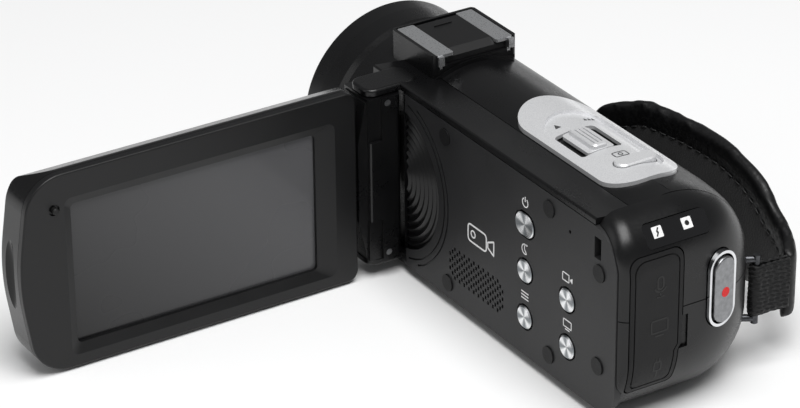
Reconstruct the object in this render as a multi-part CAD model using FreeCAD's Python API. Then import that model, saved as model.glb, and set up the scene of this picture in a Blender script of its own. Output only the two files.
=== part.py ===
import FreeCAD, Part
import math
import os
from FreeCAD import Vector

# Compact digital camcorder with a hinged, swivelling side display.  Units are mm.
# +X points to the strap side, +Y to the lens, +Z up.  The origin is the mouth of the
# tripod socket, on the base plane straight below the lens axis.

# ---------------------------------------------------------------- housing
WALL = 1.7
SEAM = 0.25
SIDE_X = -21.0
AXIS_Z = 28.0
BARREL_R = 24.9
BARREL_FRONT = 50.5
SLAB_FRONT = 38.0
FOOT_FRONT = 46.0
REAR_Y = -69.0
LEDGE_Z = 52.0
LEDGE_FALL = 1.1
CREASE_X = -10.0
BASE_EDGE_R = 4.3
BELLY_R = 18.0
REAR_EDGE_R = 12.0
REAR_CORNER_R = 22.0
REAR_BELLY_R = 18.0
REAR_LEFT_R = 4.0
HOOD_Y = -58.0
HOOD_EDGE_R = 6.0
REAR_SEAM_Z = 29.3

# ---------------------------------------------------------------- side panel and keys
PANEL_T = 1.8
PANEL_RIM = 2.5
PANEL_TOP, PANEL_BOTTOM = 50.1, 2.5
PANEL_FRONT, PANEL_REAR = 23.5, -66.4
PANEL_CORNER_R = 9.5
DIAL_Y, DIAL_Z = 27.5, 26.3
DIAL_R = 19.3
DIAL_DEPTH = 1.0
RIB_PITCH = 1.9
ARC_RADII = (21.8, 23.4)
ARC_HALF_ANGLES = (76.0, 66.0)
KEY_R = 2.95
KEY_RING_R = 3.45
KEY_PROUD = 0.4
KEY_CLEAR = 0.3
KEY_DEPTH = 3.2
KEYS = {
    "power_button": (-29.3, 37.6),
    "night_light_button": (-29.4, 25.3),
    "menu_button": (-29.5, 12.9),
    "mode_button": (-46.9, 25.7),
    "display_button": (-47.2, 13.3),
}
POWER_LENGTH = 7.6
BUMPER_R = 2.2
BUMPERS = ((5.2, 46.0), (-39.3, 46.2), (-59.6, 38.6), (-39.6, 7.5), (-59.5, 14.2), (4.2, 6.5))
GRILLE_Y, GRILLE_Z = -8.4, 13.2
GRILLE_COLUMNS = 23
GRILLE_PITCH_Y, GRILLE_PITCH_Z = 1.05, 2.0
GRILLE_SLOT = (0.72, 1.0)
CATCH_Y, CATCH_Z = -58.8, 44.7
CATCH_SLOT = (2.6, 5.4)
MIC_HOLE = (-47.7, 44.0)

# ---------------------------------------------------------------- display and hinge
HINGE_X, HINGE_Y = -26.2, 30.7
HINGE_POCKET_R = 8.5
ARM_BOTTOM, ARM_TOP = 5.5, 49.9
LUG_T = 1.7
LUG_EDGE_R = 0.8
LUG_BOTTOM = 3.4
LUG_LEFT = -30.4
LUG_REAR, LUG_FRONT = 25.6, 34.8
ARM_LEFT, ARM_RIGHT = -30.4, -21.3
ARM_REAR, ARM_FRONT = 24.4, 36.6
DISPLAY_LEFT, DISPLAY_RIGHT = -125.0, -33.2
DISPLAY_FACE, DISPLAY_BACK = 26.3, 36.5
BEZEL_Y = 28.2
DISPLAY_BOTTOM, DISPLAY_TOP = 0.7, 52.7
DISPLAY_END_R = 10.0
DISPLAY_END_BULGE = 3.4
DISPLAY_TAPER = 3.0
DISPLAY_SKIRT_Y = 29.4
DISPLAY_HINGE_R = 3.0
SWIVEL_Y = (DISPLAY_FACE + DISPLAY_BACK) / 2
SWIVEL_Z = (DISPLAY_BOTTOM + DISPLAY_TOP) / 2
SWIVEL_R = 3.0
SHAFT_END = -27.6
PIN_R = 1.5
PIN_COVER = 0.6
RUNNING = 0.05
SCREEN_LEFT, SCREEN_RIGHT = -110.8, -44.5
SCREEN_BOTTOM, SCREEN_TOP = 6.5, 43.8
RECESS_LEFT, RECESS_RIGHT = -112.8, -39.3
RECESS_BOTTOM, RECESS_TOP = 3.9, 46.0
RECESS_DEPTH = 0.9
STUD_X, STUD_Z = -115.4, 43.9
STUD_R = 0.85
STUD_PROUD = 1.2
STUD_RECESS = (1.45, 0.6)
NECK_X = -32.9
NECK_BOTTOM, NECK_TOP = 16.8, 38.4

# ---------------------------------------------------------------- lens
RING_R = 25.6
RING_FRONT = 64.5
RING_BORE_R = 23.0
FILTER_R = 18.5
FILTER_FRONT, FILTER_LENGTH = 61.0, 3.5
LENS_R = 12.5
LAMP_DROP = 16.0
LAMP_Y = 55.4
MIC_X = (-7.0, 7.0)

# ---------------------------------------------------------------- accessory shoe
SHOE_REAR, SHOE_FRONT = 24.0, 44.0
SHOE_HALF = 12.1
SHOE_FLOOR = 54.3
SHOE_TOP = 57.3
SHOE_SLOT_HALF = 9.35
SHOE_SLOT_H = 2.1
SHOE_GAP_HALF = 6.25
SHOE_RAIL_T = 0.8
SHOE_RAIL_X = 9.9
ARROW = ((-2.6, 39.0, 0.0), (2.6, 39.0, 0.0), (0.0, 42.0, 0.0))

# ---------------------------------------------------------------- top panel and controls
TOP_X = 0.7
TOP_HALF = 10.3
TOP_FRONT, TOP_REAR = -1.8, -50.4
TOP_PROUD = 0.9
TOP_SEAT = 0.9
WELL_HALF = 8.4
WELL_FRONT, WELL_REAR = -11.2, -46.2
LEVER_X, LEVER_Y = -0.8, -25.6
LEVER_W, LEVER_L = 7.4, 11.4
LEVER_KNOB_W = 4.4
LEVER_TOP = 53.9
LEVER_TRAVEL = 1.3
LEVER_STEM = 3.0
PHOTO_X, PHOTO_Y = 2.3, -40.2
PHOTO_L, PHOTO_W = 11.2, 4.4
PHOTO_TOP = 53.5

# ---------------------------------------------------------------- rear
RECORD_Z = 30.6
RECORD_L, RECORD_W = 20.0, 9.2
RECORD_TURN = 10.7
RECORD_GAP = 0.25
RECORD_RING_W = 0.7
RECORD_RING_PROUD = 0.45
RECORD_KEY_IN = 1.5
RECORD_KEY_PROUD = 1.25
COVER_LEFT, COVER_RIGHT = -18.7, -4.2
COVER_BOTTOM, COVER_TOP = 9.6, 45.0
COVER_T = 1.4
NOTCH_BOTTOM = 18.5
NOTCH_TOP = 27.0
LED_X, LED_Y, LED_Z = -4.2, -66.0, 48.4
LED_L, LED_W = 18.0, 6.0
LED_TILT = 52.0
LED_SUNK = 0.9

# ---------------------------------------------------------------- base
SOCKET_R = 3.175
SOCKET_DEPTH = 6.0
INSERT_R = 4.6
BASE_PLATE_T = 2.0
BASE_LEFT, BASE_RIGHT, BASE_REAR, BASE_FRONT = -15.0, 6.0, -50.0, 33.0
BASE_SCREWS = ((-12.8, -47.6), (-12.8, 30.0), (3.8, 30.0), (-12.8, -4.0))
DOOR_LEFT, DOOR_RIGHT, DOOR_REAR, DOOR_FRONT = -10.4, 4.6, -46.5, -9.0
BATTERY = (-6.8, 4.0, -45.0, -10.5, 3.0, 40.5)

# ---------------------------------------------------------------- strap
STAPLE_R = 0.9
STAPLE_REACH = 3.0
STAPLE_LOW, STAPLE_HIGH = 13.4, 29.2
FRONT_LUG = (24.3, 36.0, 1.0, 0.0)
REAR_LUG = (21.2, -58.4, 0.85, -0.527)
STRAP_T = 4.6
PAD_LINE = (
    (31.5, 19.0), (37.5, 7.0), (41.0, -9.0), (42.0, -27.0), (41.2, -42.0), (38.6, -52.5), (33.6, -59.5),
)
PAD_SIDE = (
    (20.0, 9.0, 9.0), (20.0, 35.0, 10.0), (-12.0, 46.5, 30.0), (-42.0, 43.5, 16.0),
    (-63.5, 29.5, 10.0), (-63.5, 9.5, 9.0), (-20.0, 4.0, 40.0),
)
FRONT_WEB_END = (30.6, 20.5)
REAR_WEB_END = (32.4, -61.0)


# ================================================================ drawing helpers
def in_space(plane, a, b, c):
    """Point with coordinates a, b in the named plane and c along its normal."""
    if plane == "xy":
        return Vector(a, b, c)
    if plane == "xz":
        return Vector(a, c, b)
    return Vector(c, a, b)


def outline(corners, plane, level):
    """Closed wire through (a, b, radius) corners, each rounded by its own radius."""
    points = [Vector(a, b, 0) for a, b, r in corners]
    count = len(corners)
    stops = []
    for k in range(count):
        here, radius = points[k], corners[k][2]
        if radius <= 0:
            stops.append((here, None, here))
            continue
        to_last = (points[k - 1] - here).normalize()
        to_next = (points[(k + 1) % count] - here).normalize()
        half = to_last.getAngle(to_next) / 2
        reach = radius / math.tan(half)
        bisector = (to_last + to_next).normalize()
        middle = here + bisector * (radius / math.sin(half) - radius)
        stops.append((here + to_last * reach, middle, here + to_next * reach))

    def place(p):
        return in_space(plane, p.x, p.y, level)

    edges = []
    for k in range(count):
        start, middle, end = stops[k]
        following = stops[(k + 1) % count][0]
        if middle is not None:
            edges.append(Part.Arc(place(start), place(middle), place(end)).toShape())
        if end.distanceToPoint(following) > 1e-6:
            edges.append(Part.makeLine(place(end), place(following)))
    return Part.Wire(edges)


def prism(corners, plane, start, end):
    """Solid with a rounded outline in a plane, from start to end along its normal."""
    face = Part.Face(outline(corners, plane, start))
    return face.extrude(in_space(plane, 0, 0, end - start))


def block(x0, x1, y0, y1, z0, z1, radius=0.0):
    """Box, with its vertical edges rounded."""
    corners = ((x0, y0, radius), (x1, y0, radius), (x1, y1, radius), (x0, y1, radius))
    return prism(corners, "xy", z0, z1)


def plate(plane, centre, size, radius, start, end):
    """Rounded rectangle centred in a plane, from start to end along its normal."""
    a, b = centre
    da, db = size[0] / 2, size[1] / 2
    corners = [(a + i * da, b + j * db, radius) for i, j in ((-1, -1), (1, -1), (1, 1), (-1, 1))]
    return prism(corners, plane, start, end)


def rod(radius, start, end):
    """Cylinder from one point to another."""
    along = Vector(*end) - Vector(*start)
    return Part.makeCylinder(radius, along.Length, Vector(*start), along)


def turned(profile):
    """Solid of revolution about the lens axis from (radius, y) points."""
    points = [Vector(r, y, AXIS_Z) for r, y in profile]
    face = Part.Face(Part.makePolygon(points + points[:1]))
    return face.revolve(Vector(0, 0, AXIS_Z), Vector(0, 1, 0), 360)


def joined(shapes):
    """Solids fused into one, with split faces merged."""
    whole = shapes[0].fuse(list(shapes[1:])) if len(shapes) > 1 else shapes[0]
    return whole.removeSplitter()


def group(shapes):
    """Separate solids kept side by side in one node."""
    return Part.makeCompound(list(shapes))


def half_space(plane, low, high):
    """Large block that keeps what lies between two levels along a plane's normal."""
    far = 200.0
    return plate(plane, (0, 0), (2 * far, 2 * far), 0.0, low, high)


def rounded(shape, radius, wanted):
    """Shape with the edges that a test picks rounded."""
    edges = [e for e in shape.Edges if wanted(e)]
    return shape.makeFillet(radius, edges)


# ================================================================ housing form
def section_corners(inset):
    """Cross-section of the slab left of the barrel, its ledge and the belly below it."""
    crease_z = LEDGE_Z - LEDGE_FALL * (0.0 - SIDE_X) / (CREASE_X - SIDE_X)
    left, right = SIDE_X + inset, BARREL_R - inset
    return (
        (left, inset, BASE_EDGE_R - inset),
        (left, LEDGE_Z - inset, 0.5),
        (0.0, crease_z - inset, 0.0),
        (0.0, AXIS_Z, 0.0),
        (right, AXIS_Z, 0.0),
        (right, inset, BELLY_R - inset),
    )


def ease(radius, y, inset):
    """How far a wall has curved in at y, when its rear corner has this radius."""
    centre_y = REAR_Y + radius
    travel = min(max(centre_y - y, 0.0), radius - inset)
    return radius - inset - math.sqrt((radius - inset) ** 2 - travel ** 2)


def rear_section(y, inset):
    """Outline of the egg-shaped rear at one station along the camcorder."""
    right_in = ease(REAR_CORNER_R, y, inset)
    share = right_in / (REAR_CORNER_R - inset)
    left = SIDE_X + inset + ease(REAR_LEFT_R, y, inset)
    right = BARREL_R - inset - right_in
    bottom = inset + ease(REAR_BELLY_R, y, inset)
    top = AXIS_Z + BARREL_R - inset - ease(REAR_EDGE_R, y, inset)
    return outline((
        (left, bottom, BASE_EDGE_R - inset - 0.9 * share),
        (left, top, HOOD_EDGE_R - inset - 2.0 * share),
        (right, top, BARREL_R - inset - 12.0 * share),
        (right, bottom, BELLY_R - inset - 9.0 * share),
    ), "xz", y)


def rear_egg(inset):
    """Rear of the housing, lofted through rounded sections that shrink towards the back."""
    radius = REAR_CORNER_R
    reach = radius - inset
    angles = [math.radians(a) for a in (0, 15, 30, 42, 53, 63, 72, 81, 90)]
    stations = [REAR_Y + radius - reach * math.sin(a) for a in angles]
    return Part.makeLoft([rear_section(y, inset) for y in stations], True, False)


def front_form(inset):
    """Housing ahead of the rear hood: barrel, side slab with its ledge, and foot."""
    start = REAR_Y + REAR_CORNER_R
    corners = section_corners(inset)
    slab = prism(corners, "xz", start, SLAB_FRONT - inset)
    barrel = rod(BARREL_R - inset, (0, start, AXIS_Z), (0, BARREL_FRONT, AXIS_Z))
    barrel = barrel.cut(block(-80, SIDE_X + inset, start - 1, SLAB_FRONT, -80, 80))
    foot_left = CREASE_X + 0.5 + inset
    foot_corners = ((foot_left, inset, 1.0), (foot_left, AXIS_Z, 0.0)) + corners[4:]
    foot = prism(foot_corners, "xz", 0.0, FOOT_FRONT - inset)
    upper_left = block(-80, 0, HOOD_Y, start + 1, AXIS_Z, 80)
    egg = rear_egg(inset).cut(upper_left).common(half_space("xz", HOOD_Y, start + 1))
    ledge = prism(corners, "xz", HOOD_Y, start).common(upper_left)
    arc = rod(BARREL_R - inset, (0, HOOD_Y, AXIS_Z), (0, start, AXIS_Z)).common(upper_left)
    arc = arc.cut(block(-80, SIDE_X + inset, HOOD_Y - 1, start + 1, -80, 80))
    return joined([slab, barrel, foot, egg, ledge, arc])


def rear_form(inset):
    """Rear hood."""
    return rear_egg(inset).common(half_space("xz", REAR_Y - 5, HOOD_Y))


def panel_corners(grow=0.0):
    """Outline of the side panel in the YZ plane."""
    top, bottom = PANEL_TOP + grow, PANEL_BOTTOM - grow
    front, rear = PANEL_FRONT + grow, PANEL_REAR - grow
    return (
        (front, bottom, 0.0),
        (front, top, 0.0),
        (rear, top, PANEL_CORNER_R),
        (rear, bottom, PANEL_CORNER_R - 2.0),
    )


def top_corners(grow=0.0):
    """Tongue outline of the silver top panel in plan."""
    left, right = TOP_X - TOP_HALF - grow, TOP_X + TOP_HALF + grow
    front, rear = TOP_FRONT + grow, TOP_REAR - grow
    return ((left, rear, 8.0), (right, rear, 8.0), (right, front, TOP_HALF), (left, front, TOP_HALF))


def sleeve(inner, outer, y0, y1):
    """Tube about the lens axis."""
    y_far = y1 + 1.0
    tube = rod(outer, (0, y0, AXIS_Z), (0, y1, AXIS_Z))
    return tube.cut(rod(inner, (0, y0 - 1.0, AXIS_Z), (0, y_far, AXIS_Z)))


def lever_window():
    """Opening that the zoom lever slides in."""
    size = (LEVER_W + 2 * LEVER_TRAVEL + 1.4, LEVER_L + 0.8)
    return plate("xy", (LEVER_X, LEVER_Y), size, 1.0, 40.0, 60.0)


def photo_hole(clear):
    size = (PHOTO_L + 2 * clear, PHOTO_W + 2 * clear)
    return plate("xy", (PHOTO_X, PHOTO_Y), size, PHOTO_W / 2 + clear, 40.0, 60.0)


def key_hole(name, clear, x0, x1):
    y, z = KEYS[name]
    if name == "power_button":
        size = (POWER_LENGTH + 2 * clear, 2 * KEY_R + 2 * clear)
        return plate("yz", (y, z), size, KEY_R + clear, x0, x1)
    return rod(KEY_R + clear, (x0, y, z), (x1, y, z))


def on_rear_corner(shape):
    """Move a shape drawn about the origin, facing -Y, onto the rounded rear corner."""
    turn = math.radians(RECORD_TURN)
    x = BARREL_R - REAR_CORNER_R + REAR_CORNER_R * math.sin(turn)
    y = REAR_Y + REAR_CORNER_R - REAR_CORNER_R * math.cos(turn)
    shape.rotate(Vector(0, 0, 0), Vector(0, 0, 1), RECORD_TURN)
    shape.translate(Vector(x, y, 0))
    return shape


def record_stadium(grow, outer, inner):
    """Stadium prism at the record key; outer and inner are depths behind the surface."""
    size = (RECORD_W + 2 * grow, RECORD_L + 2 * grow)
    return on_rear_corner(plate("xz", (0, RECORD_Z), size, size[0] / 2, outer, inner))


def cover_outline(grow, y0, y1):
    """Prism of the port cover's outline, with the finger notch on its free edge."""
    right, left = COVER_RIGHT + grow, COVER_LEFT - grow
    bottom, top = COVER_BOTTOM - grow, COVER_TOP + grow
    corners = (
        (left, bottom, 1.5),
        (right - 1.6, bottom, 1.5),
        (right - 1.0, NOTCH_BOTTOM, 1.0),
        (right, NOTCH_BOTTOM + 1.5, 0.5),
        (right, top, 2.5),
        (left, top, 3.0),
    )
    return prism(corners, "xz", y0, y1)


def band(points, thickness, z0, z1):
    """Upright band of even thickness whose middle follows a smooth line in plan."""
    middle = Part.BSplineCurve()
    middle.interpolate([Vector(x, y, z0) for x, y in points])
    steps = 12
    sides = ([], [])
    for k in range(steps + 1):
        u = middle.FirstParameter + (middle.LastParameter - middle.FirstParameter) * k / steps
        along = middle.tangent(u)[0]
        across = Vector(along.y, -along.x, 0) * (thickness / 2)
        sides[0].append(middle.value(u) + across)
        sides[1].append(middle.value(u) - across)
    curves = []
    for side in sides:
        curve = Part.BSplineCurve()
        curve.interpolate(side)
        curves.append(curve.toShape())
    caps = [Part.makeLine(sides[0][k], sides[1][k]) for k in (0, -1)]
    wire = Part.Wire([curves[0], caps[1], curves[1], caps[0]])
    return Part.Face(wire).extrude(Vector(0, 0, z1 - z0))


# ================================================================ housing parts
def hinge_pocket(radius):
    return rod(radius, (HINGE_X, HINGE_Y, LUG_BOTTOM + LUG_T), (HINGE_X, HINGE_Y, LEDGE_Z - LUG_T))


def hinge_lug(z0, outer_z):
    """Ear that holds one hinge pin, with its outer edge rounded."""
    lug = block(LUG_LEFT, -15.0, LUG_REAR, LUG_FRONT, z0, z0 + LUG_T, 3.0)
    return rounded(lug, LUG_EDGE_R, lambda e: all(abs(v.Z - outer_z) < 0.01 for v in e.Vertexes))


def pin_bores(radius, cover, hold):
    """Upper and lower hinge pins, this far under the ears' outer faces."""
    upper = rod(radius, (HINGE_X, HINGE_Y, ARM_TOP - hold), (HINGE_X, HINGE_Y, LEDGE_Z - cover))
    lower = rod(radius, (HINGE_X, HINGE_Y, LUG_BOTTOM + cover), (HINGE_X, HINGE_Y, ARM_BOTTOM + hold))
    return [upper, lower]


def panel_rim(form):
    """Frame inside the side wall that the side panel screws against."""
    inner_x = SIDE_X + PANEL_T
    outer = prism(panel_corners(1.2), "yz", inner_x - 0.3, inner_x + 1.4)
    opening = prism(panel_corners(-PANEL_RIM), "yz", inner_x - 1, inner_x + 3)
    return outer.cut(opening).common(form)


def panel_seat():
    return prism(panel_corners(SEAM), "yz", SIDE_X - 1, SIDE_X + PANEL_T)


def left_shell():
    form = front_form(0)
    shell = form.cut(front_form(WALL))
    zone = plate("yz", ((HOOD_Y + SLAB_FRONT) / 2, 30), (SLAB_FRONT - HOOD_Y, 80), 0,
                 SIDE_X - 5, CREASE_X - SEAM / 2)
    shell = shell.common(zone)
    pocket_wall = hinge_pocket(HINGE_POCKET_R + 1.2).common(form).common(zone)
    upper_lug = hinge_lug(LEDGE_Z - LUG_T, LEDGE_Z).common(half_space("yz", -40, -16))
    lower_lug = hinge_lug(LUG_BOTTOM, LUG_BOTTOM).common(half_space("yz", -40, SIDE_X + WALL))
    shell = joined([shell, pocket_wall, panel_rim(form).common(zone), upper_lug, lower_lug])
    shell = shell.cut([hinge_pocket(HINGE_POCKET_R), base_plate_seat(), panel_seat()])
    shell = shell.cut(pin_bores(PIN_R + RUNNING, PIN_COVER, 0.0))
    return shell.common(half_space("xz", HOOD_Y + SEAM, 60))


def side_panel():
    panel = prism(panel_corners(), "yz", SIDE_X, SIDE_X + PANEL_T)
    centre = (SIDE_X, DIAL_Y, DIAL_Z)
    floor_x = SIDE_X + DIAL_DEPTH
    recess = rod(DIAL_R, (SIDE_X - 1, DIAL_Y, DIAL_Z), (floor_x, DIAL_Y, DIAL_Z))
    panel = panel.cut(recess)
    comb = [(DIAL_R - 0.1, floor_x + 0.2)]
    ridge = DIAL_R - 0.6
    while ridge > 4.5:
        comb.append((ridge, floor_x))
        comb.append((ridge - RIB_PITCH * 0.35, floor_x - DIAL_DEPTH * 0.65))
        comb.append((ridge - RIB_PITCH * 0.7, floor_x))
        ridge -= RIB_PITCH
    comb.append((4.0, floor_x + 0.2))
    face = Part.Face(Part.makePolygon([Vector(x, DIAL_Y - r, DIAL_Z) for r, x in comb + comb[:1]]))
    start = face.rotated(Vector(*centre), Vector(1, 0, 0), -90)
    ribs = start.revolve(Vector(*centre), Vector(1, 0, 0), 180)
    panel = panel.fuse(ribs.common(prism(panel_corners(), "yz", SIDE_X, SIDE_X + PANEL_T)))
    for radius, half_angle in zip(ARC_RADII, ARC_HALF_ANGLES):
        r0, r1 = radius - 0.25, radius + 0.25
        depth = SIDE_X + 0.4
        corners = ((r0, SIDE_X - 1), (r1, SIDE_X - 1), (r1, depth), (r0, depth), (r0, SIDE_X - 1))
        profile = Part.Face(Part.makePolygon([Vector(x, DIAL_Y - r, DIAL_Z) for r, x in corners]))
        profile = profile.rotated(Vector(*centre), Vector(1, 0, 0), -half_angle)
        panel = panel.cut(profile.revolve(Vector(*centre), Vector(1, 0, 0), 2 * half_angle))
    cuts = [hinge_pocket(HINGE_POCKET_R)]
    for column in range(GRILLE_COLUMNS):
        y = GRILLE_Y + (column - (GRILLE_COLUMNS - 1) / 2) * GRILLE_PITCH_Y
        rows = 5 - column % 2
        if column in (0, GRILLE_COLUMNS - 1):
            rows = 3
        for row in range(rows):
            z = GRILLE_Z + (row - (rows - 1) / 2) * GRILLE_PITCH_Z
            cuts.append(plate("yz", (y, z), GRILLE_SLOT, 0.0, SIDE_X - 1, SIDE_X + 3))
    for name in KEYS:
        cuts.append(key_hole(name, KEY_CLEAR, SIDE_X - 1, SIDE_X + 3))
        cuts.append(key_hole(name, KEY_RING_R - KEY_R, SIDE_X - 1, SIDE_X + 0.35))
    for y, z in BUMPERS:
        cuts.append(rod(BUMPER_R, (SIDE_X - 1, y, z), (SIDE_X + 0.9, y, z)))
    cuts.append(plate("yz", (CATCH_Y, CATCH_Z), CATCH_SLOT, 0.0, SIDE_X - 1, SIDE_X + 3))
    cuts.append(rod(0.45, (SIDE_X - 1, MIC_HOLE[0], MIC_HOLE[1]), (SIDE_X + 3, MIC_HOLE[0], MIC_HOLE[1])))
    return panel.cut(cuts)


def right_shell():
    shell = front_form(0).cut(front_form(WALL))
    left_zone = plate("yz", ((HOOD_Y + SLAB_FRONT) / 2 + SEAM / 2, 30), (SLAB_FRONT - HOOD_Y + SEAM, 80), 0,
                      SIDE_X - 5, CREASE_X + SEAM / 2)
    shell = shell.cut(left_zone)
    seat = prism(top_corners(SEAM / 2), "xy", 40, 60)
    seat = seat.cut(rod(BARREL_R - TOP_SEAT, (0, -70, AXIS_Z), (0, 60, AXIS_Z)))
    cuts = [seat, photo_hole(0.3), base_plate_seat(), strap_lug_front(), strap_lug_rear()]
    cuts.append(lever_window().common(sleeve(BARREL_R - 1.3, BARREL_R + 2, TOP_REAR, TOP_FRONT)))
    cuts.append(plate("xy", (LEVER_X, LEVER_Y), (LEVER_STEM + 2 * LEVER_TRAVEL + 1, 4.0), 1.0, 45, 60))
    shell = shell.cut(cuts)
    return shell.common(half_space("xz", HOOD_Y + SEAM, 60))


def rear_shell(low, high):
    form = rear_form(0)
    shell = form.cut(rear_form(WALL))
    rim = panel_rim(form)
    under_cover = rear_form(COVER_T + 0.15)
    floor = under_cover.common(cover_outline(1.6, REAR_Y, REAR_Y + WALL + 2.4))
    floor = floor.cut(cover_outline(-1.4, REAR_Y, REAR_Y + 8))
    shell = shell.cut(panel_seat())
    shell = joined([shell, rim, floor])
    nail_notch = block(COVER_RIGHT - 1, COVER_RIGHT + 1.6, REAR_Y - 1, REAR_Y + 0.9,
                       NOTCH_BOTTOM, NOTCH_TOP, 0.8)
    cuts = [cover_outline(0.2, REAR_Y - 1, REAR_Y + 8).cut(under_cover), record_stadium(0.0, -6, 8),
            led_pocket(0.15, 3.0), strap_lug_rear(), base_plate_seat(), panel_seat(), nail_notch]
    shell = shell.cut(cuts)
    return shell.common(half_space("xy", low, high))


def led_pocket(grow, depth):
    """Tilted window pocket in the top rear of the hood."""
    size = (LED_L + 2 * grow, LED_W + 2 * grow)
    shape = plate("xy", (0, 0), size, 1.6, -depth, 6.0)
    shape.rotate(Vector(0, 0, 0), Vector(1, 0, 0), LED_TILT)
    shape.translate(Vector(LED_X, LED_Y, LED_Z))
    return shape


def led_window():
    window = led_pocket(0.0, 2.4)
    limit = plate("xy", (0, 0), (60, 60), 0, -6, -LED_SUNK)
    limit.rotate(Vector(0, 0, 0), Vector(1, 0, 0), LED_TILT)
    limit.translate(Vector(LED_X, LED_Y, LED_Z))
    return window.common(limit)


# ================================================================ base
def base_plate_seat():
    return block(BASE_LEFT - SEAM, BASE_RIGHT + SEAM, BASE_REAR - SEAM, BASE_FRONT + SEAM,
                 -1, BASE_PLATE_T, 3.2)


def base_plate():
    shape = block(BASE_LEFT, BASE_RIGHT, BASE_REAR, BASE_FRONT, 0, BASE_PLATE_T, 3.0)
    boss = rod(INSERT_R + 1.3, (0, 0, 0), (0, 0, SOCKET_DEPTH + 1.2))
    shape = joined([shape, boss])
    cuts = [rod(INSERT_R, (0, 0, -1), (0, 0, SOCKET_DEPTH)),
            block(DOOR_LEFT - SEAM, DOOR_RIGHT + SEAM, DOOR_REAR - SEAM, DOOR_FRONT + SEAM, -1, 4, 1.2)]
    for x, y in BASE_SCREWS:
        cuts.append(rod(1.9, (x, y, -1), (x, y, 1.1)))
        cuts.append(rod(0.9, (x, y, 0), (x, y, 4)))
    return shape.cut(cuts)


def base_screws():
    screws = []
    for x, y in BASE_SCREWS:
        head = rod(1.8, (x, y, 0.25), (x, y, 1.1))
        slot_a = block(x - 1.0, x + 1.0, y - 0.2, y + 0.2, 0, 0.75)
        slot_b = block(x - 0.2, x + 0.2, y - 1.0, y + 1.0, 0, 0.75)
        screws.append(head.cut([slot_a, slot_b]).fuse(rod(0.85, (x, y, 1.1), (x, y, 4.6))))
    return group(screws)


def tripod_insert():
    bush = rod(INSERT_R - 0.02, (0, 0, 0), (0, 0, SOCKET_DEPTH))
    return bush.cut(rod(SOCKET_R, (0, 0, -1), (0, 0, SOCKET_DEPTH + 1)))


def battery_door():
    door = block(DOOR_LEFT, DOOR_RIGHT, DOOR_REAR, DOOR_FRONT, 0, 1.6, 1.0)
    grips = []
    for k in range(6):
        x = DOOR_LEFT + 4 + 1.6 * k
        grips.append(block(x, x + 0.7, DOOR_FRONT - 7, DOOR_FRONT - 2, -1, 0.35))
    return door.cut(grips)


def battery():
    x0, x1, y0, y1, z0, z1 = BATTERY
    pull = block(x0 + 3, x1 - 3, y1 - 9, y1 - 3, z0 - 1, z0 + 0.8)
    return block(x0, x1, y0, y1, z0, z1, 1.5).cut(pull)


def battery_contacts():
    top = BATTERY[5]
    blades = []
    for k in range(3):
        y = BATTERY[2] + 6 + 4 * k
        blades.append(block(-2.5, 0.5, y, y + 1.5, top + 0.05, top + 1.6))
    return joined([block(-4, 2, BATTERY[2] + 4, BATTERY[2] + 18, top + 1.6, top + 3.0)] + blades)


# ================================================================ lens group
def front_ring():
    """Flared ring round the lens mouth, with a spigot inside the barrel."""
    spigot_r, bore_r, seam_y = BARREL_R - WALL, RING_BORE_R, BARREL_FRONT + SEAM
    inside = ((spigot_r, 49.3), (spigot_r - 0.9, 49.3), (bore_r - 1.2, 52), (bore_r - 1.2, 60.6),
              (bore_r, 61.2), (bore_r, 63.4))
    outside = ((RING_R - 1.3, RING_FRONT), (RING_R - 0.5, RING_FRONT), (RING_R, RING_FRONT - 0.6),
               (RING_R - 0.15, 59.0), (BARREL_R + 0.1, 53.2), (BARREL_R - 0.5, 51.4),
               (BARREL_R - 0.5, seam_y), (spigot_r, seam_y))
    return turned(inside + outside)


def lens_bezel():
    r = RING_BORE_R - 1.2
    back = FILTER_FRONT - FILTER_LENGTH
    bezel = turned(((r, 52.5), (r, 60.4), (FILTER_R + 0.6, FILTER_FRONT), (FILTER_R, FILTER_FRONT),
                    (FILTER_R, back), (LENS_R + 1.5, back - 1.6), (LENS_R + 1.1, 53.4),
                    (LENS_R + 1.1, 52.5)))
    lamp_z, mic_z = AXIS_Z - LAMP_DROP, AXIS_Z - LAMP_DROP + 1.2
    holes = [rod(1.55, (0, 40, lamp_z), (0, 70, lamp_z))]
    for x in MIC_X:
        holes.append(rod(0.5, (x, 40, mic_z), (x, 70, mic_z)))
    return bezel.cut(holes)


def lens_glass():
    rim_y, crown = 53.6, 2.2
    sphere_r = (LENS_R ** 2 + crown ** 2) / (2 * crown)
    dome = Part.makeSphere(sphere_r, Vector(0, rim_y + crown - sphere_r, AXIS_Z))
    front = dome.common(rod(LENS_R, (0, rim_y, AXIS_Z), (0, rim_y + crown + 1, AXIS_Z)))
    return joined([front, rod(LENS_R, (0, rim_y - 1.2, AXIS_Z), (0, rim_y, AXIS_Z))])


def lens_barrel():
    return turned(((LENS_R + 2.2, 14.0), (LENS_R + 2.2, 51.9), (LENS_R + 0.3, 51.9),
                   (LENS_R - 1.2, 40), (LENS_R - 4, 30), (LENS_R - 4, 14.0)))


def lens_elements():
    discs = []
    for y, r, t in ((48.0, 10.6, 2.4), (36.0, 8.6, 1.8), (22.0, 8.2, 2.2)):
        profile = ((0, y - t / 2), (r, y - 0.3), (r, y + 0.3), (0, y + t / 2))
        discs.append(turned(profile))
    return group(discs)


def image_sensor():
    board = block(-9, 9, 10.6, 12.0, AXIS_Z - 8, AXIS_Z + 8)
    chip = block(-4.5, 4.5, 12.0, 13.2, AXIS_Z - 4, AXIS_Z + 4)
    return joined([board, chip])


def night_lamp():
    z = AXIS_Z - LAMP_DROP
    dome = Part.makeSphere(1.5, Vector(0, LAMP_Y, z)).common(half_space("xz", LAMP_Y, 70))
    return joined([rod(1.5, (0, LAMP_Y - 2.4, z), (0, LAMP_Y, z)), dome])


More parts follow.
